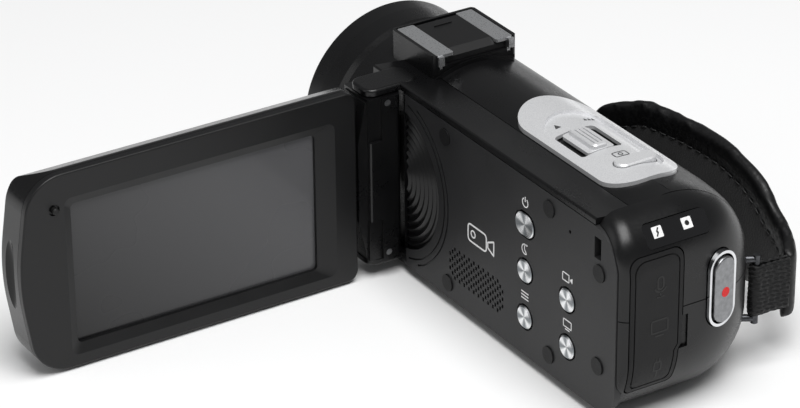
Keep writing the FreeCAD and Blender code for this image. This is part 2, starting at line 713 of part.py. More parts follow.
def microphones():
    z = AXIS_Z - LAMP_DROP + 1.2
    return group([rod(1.6, (x, 49.5, z), (x, 52.3, z)) for x in MIC_X])


# ================================================================ electronics
def main_board():
    board = block(-12.6, -11.4, -52, 8, 5, 45)
    chips = [block(-11.4, -10.1, -40, -26, 22, 36), block(-11.4, -10.3, -20, -10, 24, 34),
             block(-11.4, -10.2, -6, 4, 10, 18)]
    return joined([board] + chips)


def key_board():
    return block(-15.6, -14.6, -54, -22, 8, 42)


def key_switches():
    switches = []
    for y, z in KEYS.values():
        base = block(-16.4, -15.6, y - 2.2, y + 2.2, z - 2.2, z + 2.2)
        switches.append(joined([base, rod(1.2, (-17.2, y, z), (-16.4, y, z))]))
    return group(switches)


def speaker():
    x0 = SIDE_X + PANEL_T + 0.2
    basket = rod(8.0, (x0, GRILLE_Y, GRILLE_Z + 1), (x0 + 2.6, GRILLE_Y, GRILLE_Z + 1))
    magnet = rod(5.0, (x0 + 2.6, GRILLE_Y, GRILLE_Z + 1), (x0 + 4.4, GRILLE_Y, GRILLE_Z + 1))
    cone = Part.makeCone(7.0, 2.5, 1.6, Vector(x0, GRILLE_Y, GRILLE_Z + 1), Vector(1, 0, 0))
    return joined([basket, magnet]).cut(cone)


def card_slot():
    shell = block(-9.8, -7.4, -46, -20, 3.2, 30)
    return shell.cut(block(-9.3, -7.9, -45, -21, 2, 28))


def port_socket(kind):
    """Socket behind the port cover: round for the microphone, flat for the two plugs."""
    x = (COVER_LEFT + COVER_RIGHT) / 2 - 0.3
    y0, y1 = REAR_Y + WALL + 1.5, REAR_Y + WALL + 9
    if kind == "mic_socket":
        z = 38.0
        return rod(3.0, (x, y0, z), (x, y1, z)).cut(rod(1.8, (x, y0 - 1, z), (x, y1 - 1, z)))
    z, width, height = {"video_socket": (26.5, 3.8, 11.4), "data_socket": (16.6, 3.4, 8.0)}[kind]
    shell = plate("xz", (x, z), (width, height), 0.8, y0, y1)
    return shell.cut(plate("xz", (x, z), (width - 1.2, height - 1.2), 0.5, y0 - 1, y1 - 1))


def port_board():
    y = REAR_Y + WALL + 9.2
    return block(-15.5, -7.5, y, y + 1.0, 9, 43)


# ================================================================ accessory shoe
def shoe_base():
    """Block on the barrel with the shoe's channel and seats for the rails."""
    foot = block(-SHOE_HALF, SHOE_HALF, SHOE_REAR, SHOE_FRONT, 40, SHOE_TOP, 1.2)
    foot = foot.cut(front_form(0))
    rail_half, rail_z = SHOE_HALF - 0.9, SHOE_FLOOR + SHOE_SLOT_H
    cuts = [
        block(-SHOE_SLOT_HALF, SHOE_SLOT_HALF, SHOE_REAR - 5, SHOE_FRONT - 1.6, SHOE_FLOOR, SHOE_TOP + 5),
        block(-rail_half, rail_half, SHOE_REAR - 5, SHOE_FRONT - 0.8, rail_z, SHOE_TOP + 5),
        sleeve(BARREL_R + 1.0, BARREL_R + 1.8, SHOE_REAR - 1, SHOE_REAR + 0.4),
    ]
    for x in (-SHOE_RAIL_X, SHOE_RAIL_X):
        cuts.append(block(x - 0.6, x + 0.6, SHOE_REAR - 1, SHOE_FRONT - 0.8, SHOE_FLOOR - 1.0, SHOE_TOP))
    return foot.cut(cuts).cut(shoe_rails())


def shoe_rails():
    """Two bent steel rails: a flange over the slot, a wall beside it and a turned-down end."""
    y0, y1 = SHOE_REAR + 0.3, SHOE_FRONT - 1.0
    under, over = SHOE_FLOOR + SHOE_SLOT_H, SHOE_FLOOR + SHOE_SLOT_H + SHOE_RAIL_T
    rails = []
    for side in (-1, 1):
        near, far = sorted((side * SHOE_GAP_HALF, side * (SHOE_HALF - 1.1)))
        wall_x, lip_x = side * SHOE_RAIL_X, side * (SHOE_RAIL_X + 0.3)
        flange = block(near, far, y0, y1, under, over, 0.5)
        wall = block(wall_x - 0.5, wall_x + 0.5, y0, y1, SHOE_FLOOR - 0.9, under)
        lip = block(lip_x - 0.8, lip_x + 0.8, SHOE_REAR - 0.6, y0, SHOE_FLOOR + 0.2, over - 0.2)
        rails.append(joined([flange, wall, lip]))
    return group(rails)


def shoe_cover():
    """Slide-in dust cover with a raised arrow on it."""
    clear = 0.12
    y0, y1, top = SHOE_REAR + 1.0, SHOE_FRONT - 1.9, SHOE_TOP - 0.1
    half, crown_half = SHOE_SLOT_HALF - clear, SHOE_GAP_HALF - clear
    slab = block(-half, half, y0, y1, SHOE_FLOOR + clear, SHOE_FLOOR + SHOE_SLOT_H - clear)
    crown = block(-crown_half, crown_half, y0, y1, SHOE_FLOOR + 0.5, top)
    cover = joined([slab, crown])
    slope = ((SHOE_REAR, SHOE_TOP + 0.1, 0.0), (SHOE_REAR, SHOE_TOP - 2.2, 0.0),
             (SHOE_REAR + 3.2, SHOE_TOP + 0.1, 0.0))
    cover = cover.cut(prism(slope, "yz", -20, 20))
    return joined([cover, prism(ARROW, "xy", top - 0.1, top + 0.25)])


# ================================================================ top controls
def top_panel():
    tongue = prism(top_corners(), "xy", 40, 60)
    blank = tongue.common(sleeve(BARREL_R - TOP_SEAT, BARREL_R + TOP_PROUD, TOP_REAR - 5, TOP_FRONT + 5))
    left, right = TOP_X - WELL_HALF, TOP_X + WELL_HALF
    well = prism(((left, WELL_REAR, 6.0), (right, WELL_REAR, 6.0),
                  (right, WELL_FRONT, WELL_HALF), (left, WELL_FRONT, WELL_HALF)), "xy", 40, 60)
    well = well.common(sleeve(BARREL_R, BARREL_R + 5, TOP_REAR - 5, TOP_FRONT + 5))
    return blank.cut([well, lever_window(), photo_hole(0.25)])


def zoom_lever():
    """Curved slider in the well with a ribbed knob on it and a foot under the shell."""
    y0, y1 = LEVER_Y - LEVER_L / 2, LEVER_Y + LEVER_L / 2
    slider = plate("xy", (LEVER_X, LEVER_Y), (LEVER_W, LEVER_L), 0.8, 40.0, 60.0)
    slider = slider.common(sleeve(BARREL_R - 0.9, BARREL_R - 0.1, y0 - 1, y1 + 1))
    knob = plate("xy", (LEVER_X, LEVER_Y), (LEVER_KNOB_W, LEVER_L - 0.6), 1.2, 52.4, LEVER_TOP)
    knob = knob.makeChamfer(0.3, [e for e in knob.Edges if min(v.Z for v in e.Vertexes) > LEVER_TOP - 0.01])
    pitch = LEVER_KNOB_W / 4
    grooves = [block(LEVER_X + pitch * k - 0.22, LEVER_X + pitch * k + 0.22, y0 + 1.6, y1 - 1.6,
                     LEVER_TOP - 0.6, LEVER_TOP + 1) for k in (-1, 0, 1)]
    stem = plate("xy", (LEVER_X, LEVER_Y), (LEVER_STEM, 3.2), 0.8, 49.0, 52.4)
    foot = block(LEVER_X - 4, LEVER_X + 4, LEVER_Y - 5, LEVER_Y + 5, 48.0, 49.0)
    return joined([slider, knob.cut(grooves), stem, foot])


def photo_button():
    cap = plate("xy", (PHOTO_X, PHOTO_Y), (PHOTO_L, PHOTO_W), PHOTO_W / 2, 49.4, PHOTO_TOP)
    edges = [e for e in cap.Edges if min(v.Z for v in e.Vertexes) > PHOTO_TOP - 0.1]
    cap = cap.makeChamfer(0.35, edges)
    stem = rod(1.4, (PHOTO_X, PHOTO_Y, 47.8), (PHOTO_X, PHOTO_Y, 49.4))
    return joined([cap, stem])


def control_board():
    """Small board under the top panel, with the shutter switch on it."""
    board = block(-7, 9, -46, -34, 44.6, 45.6)
    switch = block(PHOTO_X - 2.5, PHOTO_X + 2.5, PHOTO_Y - 2.5, PHOTO_Y + 2.5, 45.6, 47.2)
    return joined([board, switch])


# ================================================================ side panel fittings
def rubber_bumpers():
    return group([rod(BUMPER_R - 0.03, (SIDE_X - 0.35, y, z), (SIDE_X + 0.85, y, z)) for y, z in BUMPERS])


def side_key(name):
    """Dished key cap: round, or lengthened for the power key."""
    front, back = SIDE_X - KEY_PROUD, SIDE_X - KEY_PROUD + KEY_DEPTH
    y, z = KEYS[name]
    if name == "power_button":
        cap = key_hole(name, 0.0, front, back)
        cap = cap.makeChamfer(0.25, [e for e in cap.Edges if max(v.X for v in e.Vertexes) < front + 0.01])
        return cap.cut(Part.makeSphere(30.0, Vector(front - 29.8, y, z)))
    profile = ((front + 0.2, 0.0), (front + 0.05, 1.4), (front, 2.3), (front, KEY_R - 0.3),
               (front + 0.3, KEY_R), (back, KEY_R), (back, 0.0))
    points = [Vector(x, y, z + r) for x, r in profile]
    face = Part.Face(Part.makePolygon(points + points[:1]))
    return face.revolve(Vector(0, y, z), Vector(1, 0, 0), 360)


def record_ring():
    outer = record_stadium(-RECORD_GAP, -RECORD_RING_PROUD, 2.2)
    return outer.cut(record_stadium(-RECORD_GAP - RECORD_RING_W, -3, 4))


def record_button():
    """Stadium key cap with a rounded edge."""
    size = (RECORD_W - 2 * RECORD_KEY_IN, RECORD_L - 2 * RECORD_KEY_IN)
    cap = plate("xz", (0, RECORD_Z), size, size[0] / 2, -RECORD_KEY_PROUD, 4.0)
    cap = rounded(cap, 0.45, lambda e: max(v.Y for v in e.Vertexes) < 0.01 - RECORD_KEY_PROUD)
    return on_rear_corner(cap)


# ================================================================ port cover
def port_cover():
    shell = rear_form(0).cut(rear_form(COVER_T))
    cover = shell.common(cover_outline(-0.05, REAR_Y - 1, REAR_Y + 6))
    groove = cover_outline(-1.0, REAR_Y - 1, REAR_Y + 6).cut(cover_outline(-1.3, REAR_Y - 2, REAR_Y + 7))
    groove = groove.common(rear_form(0).cut(rear_form(0.3)))
    return cover.cut(groove)


# ================================================================ hinge arm and display
def hinge_arm():
    body = prism(((ARM_LEFT, ARM_REAR, 0.5), (ARM_RIGHT, ARM_REAR, 1.6),
                  (ARM_RIGHT, ARM_FRONT, 1.6), (ARM_LEFT, ARM_FRONT, 0.5)), "xy", ARM_BOTTOM, ARM_TOP)
    root, shoulder = ARM_LEFT + 1.5, ARM_LEFT - 0.4
    low, high = ARM_BOTTOM + 0.8, ARM_TOP - 0.8
    neck = prism(((root, low, 0.0), (shoulder, low, 0.0), (NECK_X, NECK_BOTTOM, 1.0),
                  (NECK_X, NECK_TOP, 1.0), (shoulder, high, 0.0), (root, high, 0.0)),
                 "xz", ARM_REAR + 1.6, ARM_FRONT - 1.0)
    arm = joined([body, neck])
    edge, face = ARM_LEFT + 3.4, ARM_REAR + 0.9
    relief = [block(ARM_LEFT - 5, edge, ARM_REAR - 1, face, NECK_TOP, ARM_TOP + 1),
              block(ARM_LEFT - 5, edge, ARM_REAR - 1, face, ARM_BOTTOM - 1, NECK_BOTTOM)]
    bores = pin_bores(PIN_R + RUNNING, PIN_COVER, 6.0)
    bores.append(rod(SWIVEL_R + RUNNING, (NECK_X - 1, SWIVEL_Y, SWIVEL_Z),
                     (SHAFT_END + 0.4, SWIVEL_Y, SWIVEL_Z)))
    for z in (ARM_BOTTOM + 1.6, ARM_TOP - 1.6):
        bores.append(rod(0.9, (ARM_RIGHT - 4, ARM_REAR - 1, z), (ARM_RIGHT - 4, ARM_REAR + 0.6, z)))
    return arm.cut(relief + bores)


def hinge_pins():
    return group(pin_bores(PIN_R, PIN_COVER + 0.15, 5.8))


def arm_screws():
    screws = []
    for z in (ARM_BOTTOM + 1.6, ARM_TOP - 1.6):
        screws.append(rod(0.85, (ARM_RIGHT - 4, ARM_REAR + 0.15, z), (ARM_RIGHT - 4, ARM_REAR + 0.55, z)))
    return group(screws)


def display_corners(inset):
    """Outline of the display with its gently bowed free end."""
    left, right = DISPLAY_LEFT + DISPLAY_END_BULGE + inset, DISPLAY_RIGHT - inset
    bottom, top = DISPLAY_BOTTOM + inset, DISPLAY_TOP - inset
    end, near = DISPLAY_END_R - inset, DISPLAY_HINGE_R - min(inset, 2.0)
    return ((left, bottom, end), (right, bottom, near), (right, top, near), (left, top, end),
            (DISPLAY_LEFT - 0.6 + inset, SWIVEL_Z, 60.0))


def display_form(inset, back):
    """Display body with its top and bottom walls tapering in towards the back."""
    full = prism(display_corners(inset), "xz", DISPLAY_FACE, back)
    low, high = DISPLAY_BOTTOM + inset, DISPLAY_TOP - inset
    side = ((DISPLAY_FACE - 1, low, 0.0), (DISPLAY_SKIRT_Y, low, 3.0), (back, low + DISPLAY_TAPER, 2.2),
            (back, high - DISPLAY_TAPER, 2.2), (DISPLAY_SKIRT_Y, high, 3.0), (DISPLAY_FACE - 1, high, 0.0))
    return full.common(prism(side, "yz", DISPLAY_LEFT - 5, DISPLAY_RIGHT + 5))


def finger_groove():
    """Crescent hollow in the free end, for the finger that opens the display."""
    y = (BEZEL_Y + DISPLAY_BACK) / 2
    return Part.makeTorus(40.0, 2.4, Vector(DISPLAY_LEFT - 40.6, y, SWIVEL_Z), Vector(0, 1, 0))


def swivel_bore(radius):
    return rod(radius, (DISPLAY_RIGHT - 9.0, SWIVEL_Y, SWIVEL_Z), (DISPLAY_RIGHT + 1, SWIVEL_Y, SWIVEL_Z))


def display_back():
    behind = half_space("xz", BEZEL_Y + 0.1, DISPLAY_BACK + 5)
    tray = display_form(0, DISPLAY_BACK).common(behind).cut(display_form(1.5, DISPLAY_BACK - 1.5))
    boss = block(DISPLAY_RIGHT - 10, DISPLAY_RIGHT - 1, BEZEL_Y + 0.4, DISPLAY_BACK - 1,
                 SWIVEL_Z - 5, SWIVEL_Z + 5)
    return joined([tray, boss]).cut([swivel_bore(SWIVEL_R), finger_groove()])


def display_bezel():
    full = display_form(0, DISPLAY_BACK).common(half_space("xz", DISPLAY_FACE, BEZEL_Y))
    full = rounded(full, 0.5, lambda e: max(v.Y for v in e.Vertexes) < DISPLAY_FACE + 0.01)
    outer = ((RECESS_LEFT, RECESS_BOTTOM, 2.0), (RECESS_RIGHT, RECESS_BOTTOM, 2.0),
             (RECESS_RIGHT, RECESS_TOP, 2.0), (RECESS_LEFT, RECESS_TOP, 2.0))
    inner = ((SCREEN_LEFT, SCREEN_BOTTOM, 1.2), (SCREEN_RIGHT, SCREEN_BOTTOM, 1.2),
             (SCREEN_RIGHT, SCREEN_TOP, 1.2), (SCREEN_LEFT, SCREEN_TOP, 1.2))
    wires = [outline(outer, "xz", DISPLAY_FACE), outline(inner, "xz", DISPLAY_FACE + RECESS_DEPTH)]
    bevel = Part.makeLoft(wires, True, True)
    opening = prism(inner, "xz", DISPLAY_FACE, BEZEL_Y + 1)
    recess_r, recess_depth = STUD_RECESS
    start = (STUD_X, DISPLAY_FACE - 1, STUD_Z)
    hollow = rod(recess_r, start, (STUD_X, DISPLAY_FACE + recess_depth, STUD_Z))
    seat = rod(STUD_R, start, (STUD_X, DISPLAY_FACE + 1.2, STUD_Z))
    return full.cut([bevel, opening, hollow, seat])


def display_glass():
    grow = 0.6
    centre = ((SCREEN_LEFT + SCREEN_RIGHT) / 2, (SCREEN_BOTTOM + SCREEN_TOP) / 2)
    size = (SCREEN_RIGHT - SCREEN_LEFT + 2 * grow, SCREEN_TOP - SCREEN_BOTTOM + 2 * grow)
    return plate("xz", centre, size, 1.2, BEZEL_Y, BEZEL_Y + 0.8)


def lcd_module():
    centre = ((SCREEN_LEFT + SCREEN_RIGHT) / 2, (SCREEN_BOTTOM + SCREEN_TOP) / 2)
    panel = plate("xz", centre, (68.6, 41.0), 0.5, BEZEL_Y + 0.8, BEZEL_Y + 3.6)
    board = plate("xz", centre, (60.0, 34.0), 0.5, BEZEL_Y + 4.4, BEZEL_Y + 5.4)
    post = plate("xz", centre, (20.0, 10.0), 0.5, BEZEL_Y + 3.6, BEZEL_Y + 4.4)
    return joined([panel, board, post])


def swivel_shaft():
    return rod(SWIVEL_R, (DISPLAY_RIGHT - 8.8, SWIVEL_Y, SWIVEL_Z), (SHAFT_END, SWIVEL_Y, SWIVEL_Z))


def catch_stud():
    tip = DISPLAY_FACE - STUD_PROUD
    stud = rod(STUD_R, (STUD_X, tip, STUD_Z), (STUD_X, DISPLAY_FACE + 1.2, STUD_Z))
    return stud.makeChamfer(0.25, [e for e in stud.Edges if max(v.Y for v in e.Vertexes) < tip + 0.1])


# ================================================================ strap
def strap_staple(x, y, nx, ny):
    """Steel loop standing out of the housing along (nx, ny)."""
    depth = 2.6
    bar_x, bar_y = x + nx * STAPLE_REACH, y + ny * STAPLE_REACH
    in_x, in_y = x - nx * depth, y - ny * depth
    overhang = STAPLE_R + 0.3
    bar = rod(STAPLE_R, (bar_x, bar_y, STAPLE_LOW - overhang), (bar_x, bar_y, STAPLE_HIGH + overhang))
    legs = [rod(STAPLE_R, (in_x, in_y, z), (bar_x, bar_y, z)) for z in (STAPLE_LOW, STAPLE_HIGH)]
    return joined([bar] + legs)


def strap_lug_front():
    return strap_staple(*FRONT_LUG)


def strap_lug_rear():
    return strap_staple(*REAR_LUG)


def webbing(lug, far):
    """Ribbon of webbing looped round a strap lug and sewn to the pad's end."""
    x, y, nx, ny = lug
    bar = (x + nx * STAPLE_REACH, y + ny * STAPLE_REACH)
    z0, z1 = STAPLE_LOW + STAPLE_R + 0.4, STAPLE_HIGH - STAPLE_R - 0.4
    eye = rod(STAPLE_R + 1.1, (bar[0], bar[1], z0), (bar[0], bar[1], z1))
    run = band((bar, ((bar[0] + far[0]) / 2, (bar[1] + far[1]) / 2), far), 1.8, z0, z1)
    hole = rod(STAPLE_R + 0.3, (bar[0], bar[1], z0 - 1), (bar[0], bar[1], z1 + 1))
    return joined([eye, run]).cut(hole)


def strap_pad():
    """Curved hand pad, arched along its top edge and rounded at both ends."""
    levels = [z for y, z, r in PAD_SIDE]
    pad = band(PAD_LINE, STRAP_T, min(levels) - 1, max(levels) + 1)
    return pad.common(prism(PAD_SIDE, "yz", 20, 60))


# ================================================================ everything
def parts():
    nodes = {
        "left_shell": left_shell(),
        "right_shell": right_shell(),
        "side_panel": side_panel(),
        "rear_upper_cover": rear_shell(REAR_SEAM_Z + SEAM / 2, 80),
        "rear_lower_cover": rear_shell(-5, REAR_SEAM_Z - SEAM / 2),
        "base_plate": base_plate(),
        "base_screws": base_screws(),
        "tripod_insert": tripod_insert(),
        "battery_door": battery_door(),
        "battery": battery(),
        "battery_contacts": battery_contacts(),
        "front_ring": front_ring(),
        "lens_bezel": lens_bezel(),
        "lens_glass": lens_glass(),
        "lens_barrel": lens_barrel(),
        "lens_elements": lens_elements(),
        "image_sensor": image_sensor(),
        "night_lamp": night_lamp(),
        "microphones": microphones(),
        "main_board": main_board(),
        "key_board": key_board(),
        "key_switches": key_switches(),
        "control_board": control_board(),
        "speaker": speaker(),
        "card_slot": card_slot(),
        "port_board": port_board(),
        "shoe_base": shoe_base(),
        "shoe_rails": shoe_rails(),
        "shoe_cover": shoe_cover(),
        "top_panel": top_panel(),
        "zoom_lever": zoom_lever(),
        "photo_button": photo_button(),
        "record_ring": record_ring(),
        "record_button": record_button(),
        "indicator_window": led_window(),
        "port_cover": port_cover(),
        "rubber_bumpers": rubber_bumpers(),
        "hinge_arm": hinge_arm(),
        "hinge_pins": hinge_pins(),
        "arm_screws": arm_screws(),
        "display_back": display_back(),
        "display_bezel": display_bezel(),
        "display_glass": display_glass(),
        "lcd_module": lcd_module(),
        "swivel_shaft": swivel_shaft(),
        "catch_stud": catch_stud(),
        "strap_lug_front": strap_lug_front(),
        "strap_lug_rear": strap_lug_rear(),
        "strap_pad": strap_pad(),
        "front_webbing": webbing(FRONT_LUG, FRONT_WEB_END),
        "rear_webbing": webbing(REAR_LUG, REAR_WEB_END),
    }
    for name in KEYS:
        nodes[name] = side_key(name)
    for name in ("mic_socket", "video_socket", "data_socket"):
        nodes[name] = port_socket(name)
    return nodes


os.makedirs("parts", exist_ok=True)
for name, shape in parts().items():
    shape.exportStep("parts/" + name + ".step")
    print(name, "valid" if shape.isValid() else "INVALID", len(shape.Solids), round(shape.Volume, 1))
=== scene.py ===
import math

import bmesh
import bpy
from mathutils import Matrix, Vector
from mathutils.bvhtree import BVHTree


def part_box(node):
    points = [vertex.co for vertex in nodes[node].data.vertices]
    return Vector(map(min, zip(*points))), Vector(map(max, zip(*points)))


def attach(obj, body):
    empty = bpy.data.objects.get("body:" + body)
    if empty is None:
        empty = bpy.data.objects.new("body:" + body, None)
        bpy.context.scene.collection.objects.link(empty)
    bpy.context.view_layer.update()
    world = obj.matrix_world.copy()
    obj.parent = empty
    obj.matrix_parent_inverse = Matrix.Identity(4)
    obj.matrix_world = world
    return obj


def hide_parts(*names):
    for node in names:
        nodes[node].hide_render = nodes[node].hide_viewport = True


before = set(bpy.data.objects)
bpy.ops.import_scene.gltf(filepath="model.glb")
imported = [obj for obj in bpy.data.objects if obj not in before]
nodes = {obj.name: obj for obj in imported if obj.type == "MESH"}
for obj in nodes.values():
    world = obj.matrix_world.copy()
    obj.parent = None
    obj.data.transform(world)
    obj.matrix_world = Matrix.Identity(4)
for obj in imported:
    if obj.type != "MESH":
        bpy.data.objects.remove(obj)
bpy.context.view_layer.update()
MM = 0.001


# ---------------------------------------------------------------- camera, floor and light
CAMERA_PLACE = Vector((-427.11, -630.36, 425.39)) * MM
CAMERA_TURN = math.radians(31.74)
CAMERA_FALL = math.radians(27.79)
CAMERA_ROLL = math.radians(-0.59)
CAMERA_LENS = 158.3
FLOOR_HALF = 3.0


def place_camera():
    """Camera looking down at the rear left of the camcorder."""
    data = bpy.data.cameras.new("camera")
    data.lens = CAMERA_LENS
    data.sensor_width = 36.0
    data.clip_start = 0.05
    data.clip_end = 20.0
    camera = bpy.data.objects.new("camera", data)
    bpy.context.scene.collection.objects.link(camera)
    turn = Matrix.Rotation(-CAMERA_TURN, 4, "Z")
    fall = Matrix.Rotation(math.radians(90) - CAMERA_FALL, 4, "X")
    roll = Matrix.Rotation(CAMERA_ROLL, 4, "Z")
    camera.matrix_world = Matrix.Translation(CAMERA_PLACE) @ turn @ fall @ roll
    bpy.context.scene.camera = camera


def hue(code):
    """Linear colour of an sRGB hex code such as 8a8b8c."""
    parts = [int(code[k:k + 2], 16) / 255 for k in (0, 2, 4)]
    return [p / 12.92 if p <= 0.04045 else ((p + 0.055) / 1.055) ** 2.4 for p in parts] + [1.0]


def add_light(name, place, target, size, power):
    """Soft rectangular panel at a place, facing a target."""
    data = bpy.data.lights.new(name, "AREA")
    data.shape = "RECTANGLE"
    data.size, data.size_y = size
    data.energy = power
    light = bpy.data.objects.new(name, data)
    bpy.context.scene.collection.objects.link(light)
    light.location = place
    aim = Vector(target) - Vector(place)
    light.rotation_mode = "QUATERNION"
    light.rotation_quaternion = aim.to_track_quat("-Z", "Y")


def light_studio():
    """Large soft panels over a pale sweep."""
    world = bpy.data.worlds.new("studio")
    bpy.context.scene.world = world
    world.use_nodes = True
    background = world.node_tree.nodes["Background"]
    background.inputs["Color"].default_value = hue("f4f5f6")
    background.inputs["Strength"].default_value = 0.24
    add_light("overhead_panel", (-0.1, -0.4, 1.15), (0, 0, 0.03), (0.8, 0.8), 16.5)
    add_light("left_panel", (-1.0, 0.2, 0.6), (-0.05, 0, 0.03), (0.5, 0.7), 1.2)
    add_light("front_strip", (1.15, 0.95, 0.2), (0, 0, 0.03), (0.6, 0.16), 0.5)


def lay_floor():
    """Wide sheet of pale paper that the camcorder lies on."""
    corners = [(FLOOR_HALF * a, FLOOR_HALF * b, 0) for a, b in ((-1, -1), (1, -1), (1, 1), (-1, 1))]
    mesh = bpy.data.meshes.new("floor")
    mesh.from_pydata(corners, [], [(0, 1, 2, 3)])
    floor = bpy.data.objects.new("floor", mesh)
    bpy.context.scene.collection.objects.link(floor)
    mesh.materials.append(painted_sweep())


# ---------------------------------------------------------------- material tools
NOISE_RANGE = {"From Min": 0.3, "From Max": 0.7}  # where nearly all of the noise lies


def add(mat, kind, links=None, **settings):
    """Add one shader node with its settings, and set or link its sockets."""
    node = mat.node_tree.nodes.new("ShaderNode" + kind)
    for key, value in settings.items():
        setattr(node, key, value)
    for key, value in (links or {}).items():
        source = value.outputs[0] if isinstance(value, bpy.types.Node) else value
        if isinstance(source, bpy.types.NodeSocket):
            mat.node_tree.links.new(source, node.inputs[key])
        else:
            node.inputs[key].default_value = source
    return node


def start(name):
    """New empty material, and the piece's own coordinates."""
    mat = bpy.data.materials.new(name)
    mat.use_nodes = True
    mat.node_tree.nodes.clear()
    return mat, add(mat, "TexCoord").outputs["Object"]


def close(mat, surface):
    """Close a material with its surface."""
    add(mat, "OutputMaterial", {"Surface": add(mat, "BsdfPrincipled", surface)})
    return mat


def per(size_mm):
    """Scale of a pattern whose lumps are about this many millimetres across."""
    return 1 / (size_mm * MM)


# ---------------------------------------------------------------- materials
def painted_sweep():
    """Matt white background paper: pale, with no sheen."""
    mat, place = start("white_paper")
    tooth = add(mat, "TexNoise", {"Vector": place, "Scale": per(2.0), "Detail": 2.0})
    bump = add(mat, "Bump", {"Height": tooth, "Distance": 0.02 * MM, "Strength": 1.0})
    return close(mat, {"Roughness": 0.9, "Specular IOR Level": 0.1,
                       "Base Color": hue("f2f2f2"), "Normal": bump})


def moulded_abs(name, dark, light, roughness, grain_mm, grain_depth_mm):
    """ABS moulding: the grain of its tool gives the sheen, and handling varies it over about 14 mm."""
    mat, place = start(name)
    wear = add(mat, "TexNoise", {"Vector": place, "Scale": per(14.0), "Detail": 3.0})
    grain = add(mat, "TexNoise", {"Vector": place, "Scale": per(grain_mm), "Detail": 1.0})
    share = add(mat, "MapRange", {"Value": wear, **NOISE_RANGE})
    tone = add(mat, "MixRGB", {"Fac": share, "Color1": hue(dark), "Color2": hue(light)})
    worn = add(mat, "MapRange", {"Value": wear, **NOISE_RANGE,
                                 "To Min": roughness - 0.03, "To Max": roughness + 0.04})
    fine = add(mat, "MapRange", {"Value": grain, **NOISE_RANGE, "To Min": -0.03, "To Max": 0.03})
    rough = add(mat, "Math", {0: worn, 1: fine}, operation="ADD")
    bump = add(mat, "Bump", {"Height": grain, "Distance": grain_depth_mm * MM, "Strength": 1.0})
    return close(mat, {"IOR": 1.42, "Base Color": tone, "Roughness": rough, "Normal": bump})


def eroded_panel():
    """Spark-eroded charcoal ABS, whose sunken ribbed dish is polished and so glossier, with painted shade
    that makes the dish darker.
    """
    mat, place = start("spark_eroded_charcoal_abs")
    offset = add(mat, "VectorMath", {0: place, 1: (0.0, DISH_Y * MM, DISH_Z * MM)}, operation="SUBTRACT")
    axes = add(mat, "SeparateXYZ", {"Vector": offset})
    flat = add(mat, "CombineXYZ", {"Y": axes.outputs["Y"], "Z": axes.outputs["Z"]})
    reach = add(mat, "VectorMath", {0: flat}, operation="LENGTH").outputs["Value"]
    dish = add(mat, "Math", {0: reach, 1: DISH_R * MM}, operation="LESS_THAN")
    wear = add(mat, "TexNoise", {"Vector": place, "Scale": per(14.0), "Detail": 3.0})
    grain = add(mat, "TexNoise", {"Vector": place, "Scale": per(0.22), "Detail": 1.0})
    share = add(mat, "MapRange", {"Value": wear, **NOISE_RANGE})
    eroded = add(mat, "MixRGB", {"Fac": share, "Color1": hue("1d1d1e"), "Color2": hue("232324")})
    # Painted shade: the sunken dish is coloured far darker than the eroded panel round it.
    dish_painted_shade = add(mat, "MixRGB", {"Fac": share, "Color1": hue("060607"), "Color2": hue("09090a")})
    tone = add(mat, "MixRGB", {"Fac": dish, "Color1": eroded, "Color2": dish_painted_shade})
    worn = add(mat, "MapRange", {"Value": wear, **NOISE_RANGE, "To Min": 0.47, "To Max": 0.54})
    fine = add(mat, "MapRange", {"Value": grain, **NOISE_RANGE, "To Min": -0.03, "To Max": 0.03})
    matt = add(mat, "Math", {0: worn, 1: fine}, operation="ADD")
    rough = add(mat, "Math", {0: dish, 1: -0.16, 2: matt}, operation="MULTIPLY_ADD")
    raised = add(mat, "Math", {0: dish, 1: -0.7, 2: 1.0}, operation="MULTIPLY_ADD")
    bump = add(mat, "Bump", {"Height": grain, "Distance": 0.02 * MM, "Strength": raised})
    return close(mat, {"IOR": 1.42, "Base Color": tone, "Roughness": rough, "Normal": bump})


def silver_paint():
    """Silver lacquer over ABS: fine aluminium flake, drawn at 0.12 mm to show, under a thin clear coat."""
    mat, place = start("silver_lacquer")
    flake = add(mat, "TexNoise", {"Vector": place, "Scale": per(0.12), "Detail": 0.0})
    share = add(mat, "MapRange", {"Value": flake, **NOISE_RANGE})
    tone = add(mat, "MixRGB", {"Fac": share, "Color1": hue("d0d1d3"), "Color2": hue("ebebec")})
    rough = add(mat, "MapRange", {"Value": flake, **NOISE_RANGE, "To Min": 0.28, "To Max": 0.42})
    bump = add(mat, "Bump", {"Height": flake, "Distance": 0.004 * MM, "Strength": 1.0})
    return close(mat, {"Metallic": 0.4, "Coat Weight": 0.35, "Coat Roughness": 0.12,
                        "Base Color": tone, "Roughness": rough, "Normal": bump})


def chrome_plate():
    """Bright chromium over nickel: a mirror with faint wipe marks about 5 mm apart."""
    mat, place = start("chromium_plate")
    wipe = add(mat, "TexNoise", {"Vector": place, "Scale": per(5.0), "Detail": 4.0})
    share = add(mat, "MapRange", {"Value": wipe, **NOISE_RANGE})
    tone = add(mat, "MixRGB", {"Fac": share, "Color1": hue("d2d3d6"), "Color2": hue("e6e7e9")})
    rough = add(mat, "MapRange", {"Value": wipe, **NOISE_RANGE, "To Min": 0.07, "To Max": 0.16})
    bump = add(mat, "Bump", {"Height": wipe, "Distance": 0.01 * MM, "Strength": 1.0})
    return close(mat, {"Metallic": 1.0, "Base Color": tone, "Roughness": rough, "Normal": bump})


